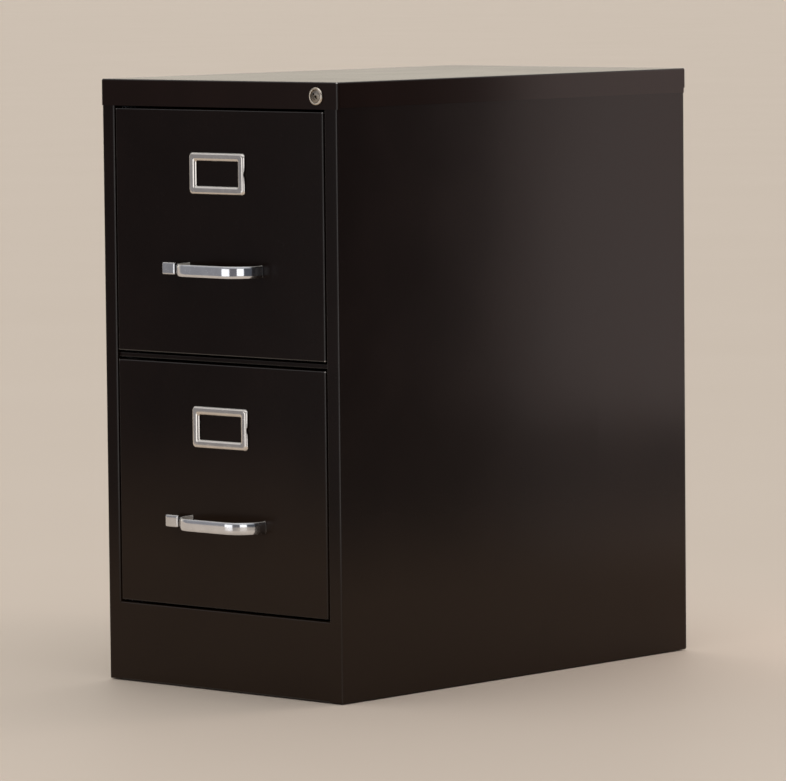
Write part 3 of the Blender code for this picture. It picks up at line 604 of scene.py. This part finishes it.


# The cap's black is painted 1.7 times lighter than the case's, as painted light on the header.
cap_paint = enamel("cap_enamel", rough=0.2, wave=0.008, uneven=0.2, shade=1.7)
cap_width = cap_high.x - cap_low.x
cap_depth = cap_high.y - cap_low.y
cap_y = (cap_high.y + cap_low.y) / 2
rim = cap_high.z - cap_low.z + past
cap = pan(cap_width, cap_depth, rim, lambda u, v, w: (u, v + cap_y, cap_high.z - w))
skirt_in = steel + fold + past
ear_y = cap_low.y + 4.5 * mm
slit = 0.6 * mm
below = header_z - 3 * past
wide = (cap_low.x - past, cap_high.x + past)
cuts = [
    block(wide, (cap_low.y - past, ear_y + slit / 2), (below, header_z)),
    block(wide, (cap_high.y - skirt_in, cap_high.y + past), (below, cap_high.z - 24 * mm)),
]
for side in sides.values():
    skirt_x = (side * (cap_high.x - skirt_in), side * (cap_high.x + past))
    cuts.append(block(skirt_x, (ear_y, cap_high.y + past), (below, cap_high.z - 30 * mm)))
    cuts.append(block(skirt_x, (ear_y, ear_y + slit), (below, cap_high.z - 3 * mm)))
lock_x, _, lock_z = middle_of("lock_plug")
cuts.append(rod(9.8 * mm, "Y", cap_low.y - past, cap_low.y + skirt_in, (lock_x, lock_z), 48))
made("cap_pan", cap, cap_paint, "case", ["top_cap"], cuts=cuts)


# Hat-section uprights of galvanised strip stand inside the walls and carry the slides by punched
# slots. The front right one also has two slotted ears that guide the lock bar.
def galvanised(name):
    """Hot-dipped zinc: dull crystals of different brightness, with a greyer bloom over them."""
    material, tone = begun(name)
    where = tone.make("TexCoord", out="Object")
    cells = tone.make("TexVoronoi", None, {"Vector": where, "Scale": 110.0}, "Color")
    spangle = tone.make("SeparateColor", None, {0: cells})
    bloom = ground(tone, 25.0, 4.0, 0.6)
    colour = spangle.mixed((0.36, 0.37, 0.38), (0.60, 0.61, 0.62))
    colour = bloom.over(0.45, 0.8).mixed(colour, (0.42, 0.42, 0.41))
    return done(material, {
        "Base Color": colour,
        "Metallic": 1.0,
        "Roughness": 0.34 + spangle * 0.12 + bloom * 0.12,
        "Normal": ground(tone, 180.0).bumped(0.06, 0.3 * mm),
    })


galvanised_strip = galvanised("galvanised_strip")
web_start = 10 * mm
web_end = 34 * mm
slot_first = 30 * mm
slot_pitch = 33 * mm
keeper = 1.2 * mm
bar_low, bar_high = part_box("lock_bar")
bar_in = bar_high.x - 10 * mm
drawers = ("upper", "lower")
finger_tops = [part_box(drawer + "_drawer_tray")[0].z + 168.5 * mm for drawer in drawers]
for row in ("front", "rear"):
    low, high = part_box(row + "_left_upright")
    for name, side in sides.items():
        node = f"{row}_{name}_upright"
        seat_x = -low.x - half
        web_x = -high.x + half
        path = [
            (seat_x, low.y),
            (seat_x, low.y + web_start),
            (web_x, low.y + web_start),
            (web_x, low.y + web_end),
            (seat_x, low.y + web_end),
            (seat_x, high.y),
        ]
        hat = prism(folded([(side * x, y) for x, y in path]), "Z", low.z, high.z)
        across_web = (side * (web_x - 2 * mm), side * (web_x + 2 * mm))
        slots = []
        for k in range(20):
            slot_at = (low.y + (web_start + web_end) / 2, low.z + slot_first + slot_pitch * k)
            slots.append(round_slot(slot_at, 12 * mm, 4 * mm, "X", *across_web, crosswise=True))
        keepers = []
        if (row, name) == ("front", "right"):
            for ear_z in (finger_tops[0] - 36 * mm, finger_tops[1] + 36 * mm):
                ear_x = (bar_in - 3 * mm, seat_x + half)
                ear_y = (bar_low.y - 3 * mm, low.y + 3 * mm)
                keepers.append(block(ear_x, ear_y, (ear_z, ear_z + keeper)))
                hole_x = (bar_in - clear, bar_high.x + clear)
                hole_y = (bar_low.y - clear, bar_high.y + clear)
                slots.append(block(hole_x, hole_y, (ear_z - past, ear_z + keeper + past)))
        made(f"{row}_{name}_hat", hat, galvanised_strip, "case", [node], slots, keepers)


# Four moulded nylon glides carry the case on the floor. Each is pressed into a hole in a foot and held
# there by a barb on its stem.
def nylon(name):
    """Black nylon, scuffed grey where it rubs on the floor."""
    material, tone = begun(name)
    scuffs = ground(tone, 60.0, 4.0, 0.6, (1, 6, 1)).over(0.5, 0.75)
    down = tone.make("NewGeometry", out="Normal").parts()[2].over(0.2, -0.8)
    return done(material, {
        "Base Color": (scuffs * (0.25 + down * 0.5)).mixed((0.020, 0.020, 0.021), (0.16, 0.155, 0.15)),
        "Roughness": 0.42 + scuffs * 0.2,
        "Specular IOR Level": 0.4,
        "Normal": ground(tone, 800.0).bumped(0.1, 0.1 * mm),
    })


glide_nylon = nylon("glide_nylon")
glide_profile = [
    (0, 0.4), (5, 0.4), (5.5, 0), (11.2, 0), (11.75, 0.2), (12, 0.6), (12, 1.0), (11.8, 1.2),
    (3, 1.2), (3, 2.8), (3.9, 3.3), (3.9, 3.8), (3.0, 6.1), (2.7, 7.9), (2.1, 8.5), (0, 8.5),
]
for node, at in glide_at.items():
    shape = turned([(r * mm, z * mm) for r, z in glide_profile], "Z", (at.x, at.y), 40)
    made(node + "_foot", shape, glide_nylon, "case", [node])


# The lock's housing is a nickel-plated die casting, pushed through the header from the front and
# clamped behind it by a hexagon nut. Years of keys have taken the plating to a warm grey.
def nickel(name, rough=0.14, shade=1.0):
    """Nickel plate, warm and a little brown, rubbed brighter in patches."""
    material, tone = begun(name)
    wear_and_painted_highlight = ground(tone, 160.0, 4.0, 0.6)
    fine = ground(tone, 1400.0, 2.0)
    brown = shaded((0.34, 0.28, 0.21), shade)
    bright = shaded((0.76, 0.69, 0.60), shade)
    return done(material, {
        "Base Color": wear_and_painted_highlight.over(0.3, 0.72).mixed(brown, bright),
        "Metallic": 1.0,
        "Roughness": rough + wear_and_painted_highlight * 0.14 + fine * 0.06,
        "Normal": fine.bumped(0.12, 0.1 * mm),
    })


lock_nickel = nickel("lock_nickel")
lock_centre = (lock_x, lock_z)
housing_profile = [
    (7.7, -2.45), (7.9, -2.7), (8.5, -2.8), (9.1, -2.72), (9.7, -2.42), (10.2, -1.9), (10.5, -1.2),
    (10.5, -0.5), (10.3, -0.3), (9.5, -0.3), (9.5, 16), (7.7, 16),
]
nut_profile = [(11.3, 1.3), (12, 1.8), (12, 3.8), (11.3, 4.3)]
housing = turned([(r * mm, front_y + y * mm) for r, y in housing_profile], "Y", lock_centre, 56, ring=True)
nut = turned([(r * mm, front_y + y * mm) for r, y in nut_profile], "Y", lock_centre, 6)
bore = rod(9.6 * mm, "Y", front_y, front_y + 6 * mm, lock_centre, 56)
made("lock_barrel", housing, lock_nickel, "case", ["lock_housing"])
made("lock_nut", nut, lock_nickel, "case", (), cuts=[bore], edge=0.2 * mm)

# The plug turns in the housing's bore. Its keyway runs down to the right while the lock is open, and
# the edges of the wafers show as bright specks inside it.
plug_profile = [
    (0, -2.75), (2.6, -2.7), (4.6, -2.5), (6.2, -2.15), (7.2, -1.75), (7.6, -1.4),
    (7.6, 19.4), (3, 19.4), (3, 21.7), (0, 21.7),
]
plug = turned([(r * mm, front_y + y * mm) for r, y in plug_profile], "Y", lock_centre, 56)
slant = Vector((math.cos(math.radians(45)), -math.sin(math.radians(45))))
square = Vector((-slant.y, slant.x))


def keyed(along, aside, length, width):
    """Corners of a small oblong laid along the keyway."""
    middle = Vector(lock_centre) + slant * along * mm + square * aside * mm
    corners = ((1, 1), (-1, 1), (-1, -1), (1, -1))
    return [tuple(middle + slant * length * mm / 2 * a + square * width * mm / 2 * b) for a, b in corners]


key_y = (front_y - 4 * mm, front_y + 3.5 * mm)
ward = prism(keyed(1.2, 1.3, 2.4, 1.4), "Y", *key_y)
keyway = prism(keyed(-0.5, 0, 9.6, 2.0), "Y", *key_y)
plug_nickel = nickel("plug_nickel", rough=0.18, shade=0.5)
made("lock_cylinder", plug, plug_nickel, "lock", ["lock_plug"], cuts=[keyway, ward], edge=0.12 * mm)
wafer_thick = 0.45
wafers = []
for depth, along in ((-1.2, -2.3), (-0.4, 1.9), (0.5, -0.4), (1.4, 2.6)):
    wafer_y = (front_y + depth * mm, front_y + (depth + wafer_thick) * mm)
    wafers.append(prism(keyed(along, 0, 2.4, 1.92), "Y", *wafer_y))
made("lock_wafers", together(wafers), lock_nickel, "lock", ())


# A pressed cam on the plug's tail carries a pin in the slot of the lock bar, which it lifts. Cam and
# bar are strip steel with bright zinc plating.
def zinc(name, stretch, rough=0.3):
    """Bright zinc plating, drawn out along the strip, with the faint blue and straw tints of its bath."""
    material, tone = begun(name)
    drawn = ground(tone, 90.0, 4.0, 0.65, stretch)
    tints = ground(tone, 14.0, 3.0)
    straw = tints.over(0.52, 0.72).mixed((0.60, 0.61, 0.63), (0.64, 0.60, 0.52))
    colour = drawn.over(0.25, 0.75).mixed((0.44, 0.45, 0.46), straw)
    return done(material, {
        "Base Color": colour,
        "Metallic": 1.0,
        "Roughness": rough + drawn * 0.16,
        "Normal": drawn.bumped(0.08, 0.15 * mm),
    })


def link(first, first_radius, second, second_radius, steps=14):
    """Outline of a plate round two centres, with straight edges between."""
    a, b = Vector(first), Vector(second)
    along = math.atan2(b.y - a.y, b.x - a.x)
    spread = math.acos((first_radius - second_radius) / (b - a).length)
    points = []
    for centre, radius, start, sweep in (
        (a, first_radius, along + spread, math.tau - 2 * spread),
        (b, second_radius, along - spread, 2 * spread),
    ):
        for k in range(steps + 1):
            angle = start + sweep * k / steps
            points.append((centre.x + radius * math.cos(angle), centre.y + radius * math.sin(angle)))
    return points


upright_zinc = zinc("upright_zinc", (1, 1, 0.05))
cam_low, cam_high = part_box("lock_cam")
cam_face = cam_low.y + 2 * mm
pin_at = tuple(Vector(lock_centre) + slant * 10 * mm)
made(
    "lock_cam_plate",
    prism(link(lock_centre, 6 * mm, pin_at, 3.3 * mm), "Y", cam_low.y, cam_face),
    upright_zinc, "lock", ["lock_cam"],
    cuts=[rod(3.3 * mm, "Y", cam_low.y - past, cam_face + past, lock_centre)],
    joins=[rod(1.5 * mm, "Y", cam_low.y + 1 * mm, cam_high.y, pin_at)],
)
arm_z = pin_at[1]
slot_start = pin_at[0] - 2.1 * mm
slot_end = lock_x + 12.1 * mm
slot_x = (slot_start + slot_end) / 2
finger_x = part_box("lower_right_inner_slide")[0].x + 3.7 * mm
finger = 12 * mm
blank = [
    (bar_high.x, bar_low.z),
    (bar_high.x, bar_high.z),
    (bar_low.x, bar_high.z),
    (bar_low.x, bar_high.z - finger),
    (bar_in, bar_high.z - finger),
]
for top in finger_tops:
    blank += [(bar_in, top), (finger_x, top), (finger_x, top - finger), (bar_in, top - finger)]
blank.append((bar_in, bar_low.z))
bar = prism(blank, "Y", bar_low.y, bar_high.y)
through_bar = (bar_low.y - past, bar_high.y + past)
pin_slot = round_slot((slot_x, arm_z), slot_end - slot_start, 4.2 * mm, "Y", *through_bar)
made(
    "lock_bar_strip", bar, upright_zinc, "lock_bar", ["lock_bar"],
    cuts=[pin_slot], edge=0.3 * mm,
)

# Each drawer runs on two ball slides of three rolled members. The outer one hangs in the slots of the
# uprights, the middle one floats between, and the inner one is riveted to the tray.
slide_zinc = zinc("slide_zinc", (1, 0.04, 1), 0.26)
cage_zinc = zinc("cage_zinc", (1, 0.1, 1), 0.36)
strip = 1.2 * mm
cage_strip = 0.6 * mm
ball = 2.3 * mm
ball_first = 18 * mm
ball_pitch = 14 * mm
hole_shares = (0.03, 0.09, 0.24, 0.42, 0.60, 0.78, 0.92, 0.97)
rivet_head = ((0, 1.1), (1.6, 0.95), (2.6, 0.5), (2.9, -0.05), (0, -0.05))


def bearing_steel(name):
    """Hardened balls, polished, with a trace of grease."""
    material, tone = begun(name)
    grease = ground(tone, 120.0, 3.0)
    return done(material, {
        "Base Color": grease.over(0.5, 0.7).mixed((0.70, 0.71, 0.72), (0.50, 0.47, 0.41)),
        "Metallic": 1.0,
        "Roughness": 0.08 + grease * 0.14,
    })


ball_steel = bearing_steel("ball_steel")


def channel(box, side, web_out, thick, inside, half_height=None, tip=None):
    """A C-section along the slide, its web on the wall's side or on the drawer's."""
    low, high = box
    near, far = sorted((abs(low.x), abs(high.x)))
    web = far - thick / 2 if web_out else near + thick / 2
    tip = tip or (near if web_out else far)
    reach = half_height or (high.z - low.z - thick) / 2
    middle = (low.z + high.z) / 2
    path = [(tip, reach), (web, reach), (web, -reach), (tip, -reach)]
    outline = folded([(side * x, z + middle) for x, z in path], thick, inside, 5)
    return prism(outline, "Y", low.y, high.y)


for drawer in drawers:
    for name, side in sides.items():
        place = f"{drawer}_{name}"
        bodies = {"outer": "case", "middle": place + "_middle", "inner": drawer + "_drawer"}
        for member, body in bodies.items():
            node = f"{place}_{member}_slide"
            low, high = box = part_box(node)
            middle_z = (low.z + high.z) / 2
            web_out = member != "inner"
            web = max(abs(low.x), abs(high.x)) if web_out else min(abs(low.x), abs(high.x))
            reach = (side * (web - 2 * mm), side * (web + 2 * mm))
            holes = []
            for k, share in enumerate(hole_shares):
                hole_at = (low.y + (high.y - low.y) * share, middle_z)
                holes.append(round_slot(hole_at, 11 * mm if k % 2 else 5 * mm, 4.6 * mm, "X", *reach))
            rolled = channel(box, side, web_out, strip, 0.8 * mm)
            made(
                f"{place}_{member}_channel", rolled, slide_zinc, body, [node],
                holes, edge=0.2 * mm,
            )
            if member == "inner":
                face = web + strip
                profile = [(r * mm, side * (face + x * mm)) for r, x in rivet_head]
                heads = []
                for share in (0.15, 0.5, 0.85):
                    rivet_y = low.y + (high.y - low.y) * share
                    heads.append(turned(profile, "X", (rivet_y, middle_z), 20))
                made(f"{place}_rivets", together(heads), slide_zinc, body, ())
        for kind in ("outer", "inner"):
            node = f"{place}_{kind}_cage"
            body = node
            low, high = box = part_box(node)
            middle_z = (low.z + high.z) / 2
            row = (high.z - low.z) / 2 - ball
            web = max(abs(low.x), abs(high.x)) - cage_strip / 2
            reach = (side * (web - 2 * mm), side * (web + 2 * mm))
            windows = []
            for k in range(6):
                window_at = (low.y + 25 * mm + 42 * mm * k, middle_z)
                windows.append(round_slot(window_at, 24 * mm, min(10 * mm, row), "X", *reach))
            bent = channel(box, side, True, cage_strip, cage_strip, row, web - 7.6 * mm)
            made(node + "_strip", bent, cage_zinc, body, [node], windows, edge=0.1 * mm)
            balls = []
            for edge in (-1, 1):
                for k in range(17):
                    at_y = low.y + ball_first + ball_pitch * k
                    profile = []
                    for step in range(9):
                        angle = math.pi * step / 8
                        radius = ball * math.sin(angle) if 0 < step < 8 else 0
                        profile.append((radius, at_y - ball * math.cos(angle)))
                    balls.append(turned(profile, "Y", (side * (web - 4.2 * mm), middle_z + edge * row), 14))
            made(node + "_balls", together(balls), ball_steel, body, ())


# A drawer's tray is one sheet folded into floor, sides and lips, with pressed beads that stiffen the
# floor and punched slots for folder rails. A catch on its right side meets the lock bar.
def mirrored(path):
    """A path carried on by its own mirror image."""
    return path + [(-x, y) for x, y in path[::-1]]


tray_paint = enamel("tray_enamel", rough=0.42)
bead_swell = (
    (0, 0.02), (0.006, 0.55), (0.014, 0.9), (0.024, 1),
    (0.976, 1), (0.986, 0.9), (0.994, 0.55), (1, 0.02),
)
arch = [(math.cos(math.pi * k / 10), math.sin(math.pi * k / 10)) for k in range(11)]
for drawer in drawers:
    node = drawer + "_drawer_tray"
    body = drawer + "_drawer"
    low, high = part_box(node)
    tray_x = -low.x
    side_x = tray_x - half
    path = mirrored([(tray_x - 9 * mm, high.z - half), (side_x, high.z - half), (side_x, low.z + half)])
    catch_y = bar_high.y + 8 * mm
    catch_z = low.z + 170 * mm
    catch = block((tray_x - half, high.x), (catch_y, catch_y + 1.5 * mm), (catch_z, catch_z + 12 * mm))
    slots = []
    for side in sides.values():
        reach = (side * (tray_x - 2 * mm), side * (tray_x + past))
        for k in range(8):
            slot_at = (low.y + 60 * mm + 64 * mm * k, high.z - 22 * mm)
            slots.append(round_slot(slot_at, 18 * mm, 4 * mm, "X", *reach))
    tray = prism(folded(path), "Y", low.y, high.y)
    made(drawer + "_tray_sheet", tray, tray_paint, body, [node], cuts=slots, joins=[catch])
    bead_z = low.z + steel - 0.05 * mm
    beads = []
    for bead_x in (-105, -62, 62, 105):
        rows = []
        for share, size in bead_swell:
            bead_y = low.y + 30 * mm + (high.y - low.y - 70 * mm) * share
            wide = 5 * mm * size
            tall = 1.6 * mm * size
            rows.append([(bead_x * mm + wide * a, bead_y, bead_z + tall * b) for a, b in arch])
        beads.append(loft(rows))
    made(drawer + "_tray_beads", together(beads), tray_paint, body)

    # The drawer's back is a sheet lower than the tray's sides, folded to a flange down each edge and
    # welded between them.
    node = drawer + "_drawer_back"
    low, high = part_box(node)
    path = mirrored([(high.x - half, low.y), (high.x - half, high.y - half)])
    made(drawer + "_back_sheet", prism(folded(path), "Z", low.z, high.z), tray_paint, body, [node])

# A follower plate leans behind the folders on a rail of folded steel along the tray's floor, and is
# slid forward to hold them up. The rail has a row of punched slots that its foot can bite into.
track_zinc = zinc("track_zinc", (1, 0.05, 1), 0.34)
for drawer in drawers:
    body = drawer + "_drawer"
    node = drawer + "_follower_rail"
    low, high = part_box(node)
    crest = 8.5 * mm
    path = mirrored([(high.x, low.z + half), (crest, low.z + half), (crest, high.z - half)])
    slots = []
    for k in range(33):
        slot_at = (0, low.y + 24 * mm + 15.5 * mm * k)
        slots.append(round_slot(slot_at, 4 * mm, 2.4 * mm, "Z", high.z - 2 * mm, high.z + past, True, 3))
    track = prism(folded(path), "Y", low.y, high.y)
    made(drawer + "_follower_track", track, track_zinc, body, [node], slots, edge=0.15 * mm)

    node = drawer + "_follower_plate"
    plate_low, plate_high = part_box(node)
    sole = high.z + clear + half
    heel = plate_low.y + 70 * mm
    top = plate_high.z - half
    lean_back = 22 * mm
    path = [(plate_low.y, sole), (heel, sole), (heel + lean_back, top), (heel + lean_back + 9 * mm, top)]
    runners = []
    for side in sides.values():
        near = crest + half + 0.4 * mm
        runner_x = (side * near, side * (near + 4 * mm))
        runners.append(block(runner_x, (plate_low.y, heel - steel - fold), (plate_low.z, sole)))
    grip = (0, top - 34 * mm)
    finger_hole = round_slot(grip, 72 * mm, 22 * mm, "Y", heel, heel + 2 * lean_back, steps=10)
    plate = prism(folded(path), "X", plate_low.x, plate_high.x)
    made(
        drawer + "_follower_sheet", plate, tray_paint, drawer + "_follower", [node],
        cuts=[finger_hole], joins=runners, edge=0.2 * mm,
    )

# A drawer's front is a box pan with crisp rounded edges, and a second pan nested in its mouth closes
# it from behind. The front has a slot for the latch, the liner a guide for the bolt and a spring tab.
# The fronts' painted reflection of the floor reaches a little higher than the case's.
front_paint = enamel("front_enamel", rough=0.24, painted_floor_reflection_top=0.34)
for drawer in drawers:
    body = drawer + "_drawer"
    node = drawer + "_drawer_front"
    low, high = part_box(node)
    middle_z = (low.z + high.z) / 2
    button_x, _, button_z = middle_of(drawer + "_thumb_latch")
    face = pan(
        high.x - low.x, high.z - low.z, high.y - low.y,
        lambda u, v, w: (u, front_y + w, v + middle_z),
    )
    stem_slot = block(
        (button_x - 2.9 * mm, button_x + 8.9 * mm),
        (front_y - past, front_y + steel + past),
        (button_z - 3.9 * mm, button_z + 3.9 * mm),
    )
    made(drawer + "_front_pan", face, front_paint, body, [node], cuts=[stem_slot])

    node = drawer + "_drawer_liner"
    low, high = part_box(node)
    closing = pan(
        high.x - low.x, high.z - low.z, high.y - low.y,
        lambda u, v, w: (u, high.y - w, v + middle_z),
    )
    bolt_low, bolt_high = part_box(drawer + "_latch_bolt")
    guide = block(
        (low.x - past, low.x + steel + past),
        (bolt_low.y - clear, bolt_high.y + clear),
        (bolt_low.z - clear, bolt_high.z + clear),
    )
    spring_low, spring_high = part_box(drawer + "_latch_spring")
    tab_x = spring_high.x + clear
    tab = block(
        (tab_x, tab_x + steel),
        (spring_low.y - 1.4 * mm, high.y - half),
        (button_z - 6 * mm, button_z + 6 * mm),
    )
    made(drawer + "_liner_pan", closing, tray_paint, body, [node], cuts=[guide], joins=[tab])


# The bow handle is a die casting with a crowned face and generous bends, polished and chrome plated.
# Screws from inside the front hold its two legs.
def chrome(name, middle_x, plate=(0.72, 0.73, 0.755)):
    """Bright chrome with slow ripples and polish marks, dull on the inside of a bow and dusty on top."""
    material, tone = begun(name)
    film = ground(tone, 70.0, 4.0, 0.6)
    hairs = ground(tone, 500.0, 3.0, 0.6, (0.12, 1, 1))
    pits = ground(tone, 900.0, 1.0).over(0.70, 0.78)
    across, inward, up = tone.make("NewGeometry", out="Normal").parts()
    right = tone.make("TexCoord", out="Object").parts()[0].over(middle_x - mm, middle_x + mm)
    inside = (inward + across * (1 - right * 2)).over(0.1, 0.6)
    dull = inside.most(up.over(0.4, 0.8))
    bright = film.over(0.3, 0.75).mixed(plate, shaded(plate, 1.11))
    ripple = ground(tone, 38.0, 1.0).bumped(0.12, 0.3 * mm)
    return done(material, {
        "Base Color": dull.mixed(bright, (0.62, 0.59, 0.54)),
        "Metallic": 1 - dull * 0.75,
        "Roughness": 0.07 + film * 0.07 + pits * 0.25 + dull * 0.35,
        "Specular IOR Level": 0.4,
        "Normal": (hairs - pits).bumped(0.05, 0.05 * mm, ripple),
    })


handle_chrome = chrome("handle_chrome", middle_of("upper_handle")[0])
label_chrome = chrome("label_chrome", 0, (0.715, 0.672, 0.625))
thick = 3 * mm
bend = 30 * mm
back_round = 0.5 * mm
face_round = 0.7 * mm
quarter = [math.radians(90 * k / 4) for k in range(5)]
foot_flare = ((0, 0.4), (0.6, 0.22), (1.6, 0.08), (3.5, 0.02))
for drawer in drawers:
    node = drawer + "_handle"
    low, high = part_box(node)
    tall = high.z - low.z
    centre = (low + high) / 2
    leg = (high.x - low.x - thick) / 2
    path = mirrored([(leg, front_y - 0.05 * mm), (leg, low.y + thick / 2)])
    section = []
    for angle in quarter:
        n = -thick / 2 + back_round * (1 - math.sin(angle))
        section.append((n, tall / 2 - back_round * (1 - math.cos(angle))))
    section += [(n, -z) for n, z in section[::-1]]
    face = []
    for angle in quarter:
        n = 0.52 * mm - face_round * (1 - math.sin(angle))
        face.append((n, -tall / 2 + face_round * (1 - math.cos(angle))))
    for k in range(-8, 9):
        share = k / 9
        face.append((thick / 2 - 1.1 * mm * abs(share) ** 5, tall / 2 * share))
    face += [(n, -z) for n, z in face[:len(quarter)][::-1]]
    line = fold_line(path, bend, 28)
    feet = []
    for foot, normal in (line[0], line[-1]):
        feet.append([(foot + Vector((0, -out * mm)), normal, flare * mm) for out, flare in foot_flare])
    stations = feet[0] + [(point, normal, 0) for point, normal in line[1:-1]] + feet[1][::-1]
    rows = []
    for point, normal, flare in stations:
        rows.append([
            (
                centre.x + point.x + normal.x * n * (1 + 2 * flare / thick),
                point.y + normal.y * n,
                centre.z + z * (1 + 2 * flare / tall),
            )
            for n, z in section + face
        ])
    made(drawer + "_bow_handle", loft(rows), handle_chrome, drawer + "_drawer", [node])

    # The label holder is stamped from thin strip: a raised frame round a window, open at the right for
    # its card, with a thumb notch there, and chromed like the handle.
    node = drawer + "_label_holder"
    low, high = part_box(node)
    centre = (low + high) / 2
    width, tall = high.x - low.x, high.z - low.z
    proud = high.y - low.y
    rows = []
    for share, out in (
        (0, 0), (0, 0.22), (0.02, 0.42), (0.07, 0.66), (0.14, 0.85), (0.22, 0.96), (0.30, 1), (0.64, 1),
        (0.74, 0.95), (0.83, 0.82), (0.91, 0.62), (0.97, 0.42), (1, 0.24), (1, 0),
    ):
        corner = 5 * mm + (1.5 - 5) * mm * share
        ring = rounded(width + (67 * mm - width) * share, tall + (29.5 * mm - tall) * share, corner, 8)
        rows.append([(centre.x + u, high.y - proud * out, centre.z + v) for u, v in ring])
    pocket = block(
        (centre.x - 38.5 * mm, high.x + past),
        (high.y - 0.8 * mm, high.y + past),
        (centre.z - 19.75 * mm, centre.z + 19.75 * mm),
    )
    thumb = rod(13 * mm, "Y", low.y - past, high.y + past, (high.x + 11.8 * mm, centre.z), 64)
    made(
        drawer + "_label_frame", loft(rows, ring=True), label_chrome, drawer + "_drawer", [node],
        cuts=[pocket, thumb], edge=0.15 * mm,
    )

# The thumb latch is a chromed button on a stem through the front. It draws a bolt from behind the
# left stile, and a small coil spring throws the bolt back.
spring_zinc = zinc("spring_zinc", (1, 1, 1), 0.24)
latch_chrome = chrome("latch_chrome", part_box("upper_thumb_latch")[0].x, (0.65, 0.65, 0.66))
button_profile = (
    (0.5, 3.2), (0.15, 3.05), (0, 2.7), (0, 1.1), (0.08, 0.75),
    (0.3, 0.42), (0.65, 0.2), (1.2, 0.08), (2.2, 0.02), (3.4, 0),
)
wire = 0.5 * mm
turns = 9
steps = 24
wire_round = [(math.cos(math.tau * k / 8), math.sin(math.tau * k / 8)) for k in range(8)]
for drawer in drawers:
    body = drawer + "_latch"
    node = drawer + "_thumb_latch"
    low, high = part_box(node)
    centre = (low + high) / 2
    width, tall = high.x - low.x, high.z - low.z
    rows = []
    for inset, back in button_profile:
        ring = rounded(width - 2 * inset * mm, tall - 2 * inset * mm, max(1.6 - inset, 0.35) * mm, 6)
        rows.append([(centre.x + u, low.y + back * mm, centre.z + v) for u, v in ring])
    stem = block(
        (centre.x - 2.5 * mm, centre.x + 2.5 * mm),
        (low.y + 1.6 * mm, high.y),
        (centre.z - 3.5 * mm, centre.z + 3.5 * mm),
    )
    button = loft(rows)
    made(drawer + "_thumb_button", button, latch_chrome, body, [node], joins=[stem], edge=0.12 * mm)

    node = drawer + "_latch_bolt"
    low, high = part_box(node)
    deep = high.y - low.y
    outline = [
        (low.x, low.y),
        (high.x, low.y),
        (high.x, high.y),
        (low.x + deep, high.y),
        (low.x, low.y + deep / 2),
    ]
    made(drawer + "_bolt_strip", prism(outline, "Z", low.z, high.z), slide_zinc, body, [node])

    node = drawer + "_latch_spring"
    low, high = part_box(node)
    centre = (low + high) / 2
    radius = (high.z - low.z) / 2 - wire
    length = high.x - low.x
    rows = []
    for k in range(turns * steps + 1):
        angle = math.tau * k / steps
        share = k / (turns * steps)
        close = min(1, share * 8, (1 - share) * 8)
        along = 0.5 + (share - 0.5) * (0.93 + 0.07 * close)
        out = Vector((0, math.cos(angle), math.sin(angle)))
        middle = Vector((low.x + wire + (length - 2 * wire) * along, centre.y, centre.z)) + out * radius
        rows.append([middle + (out * a + Vector((1, 0, 0)) * b) * wire for a, b in wire_round])
    spring = made(drawer + "_coil_spring", loft(rows), spring_zinc, drawer + "_drawer", [node])
    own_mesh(spring)
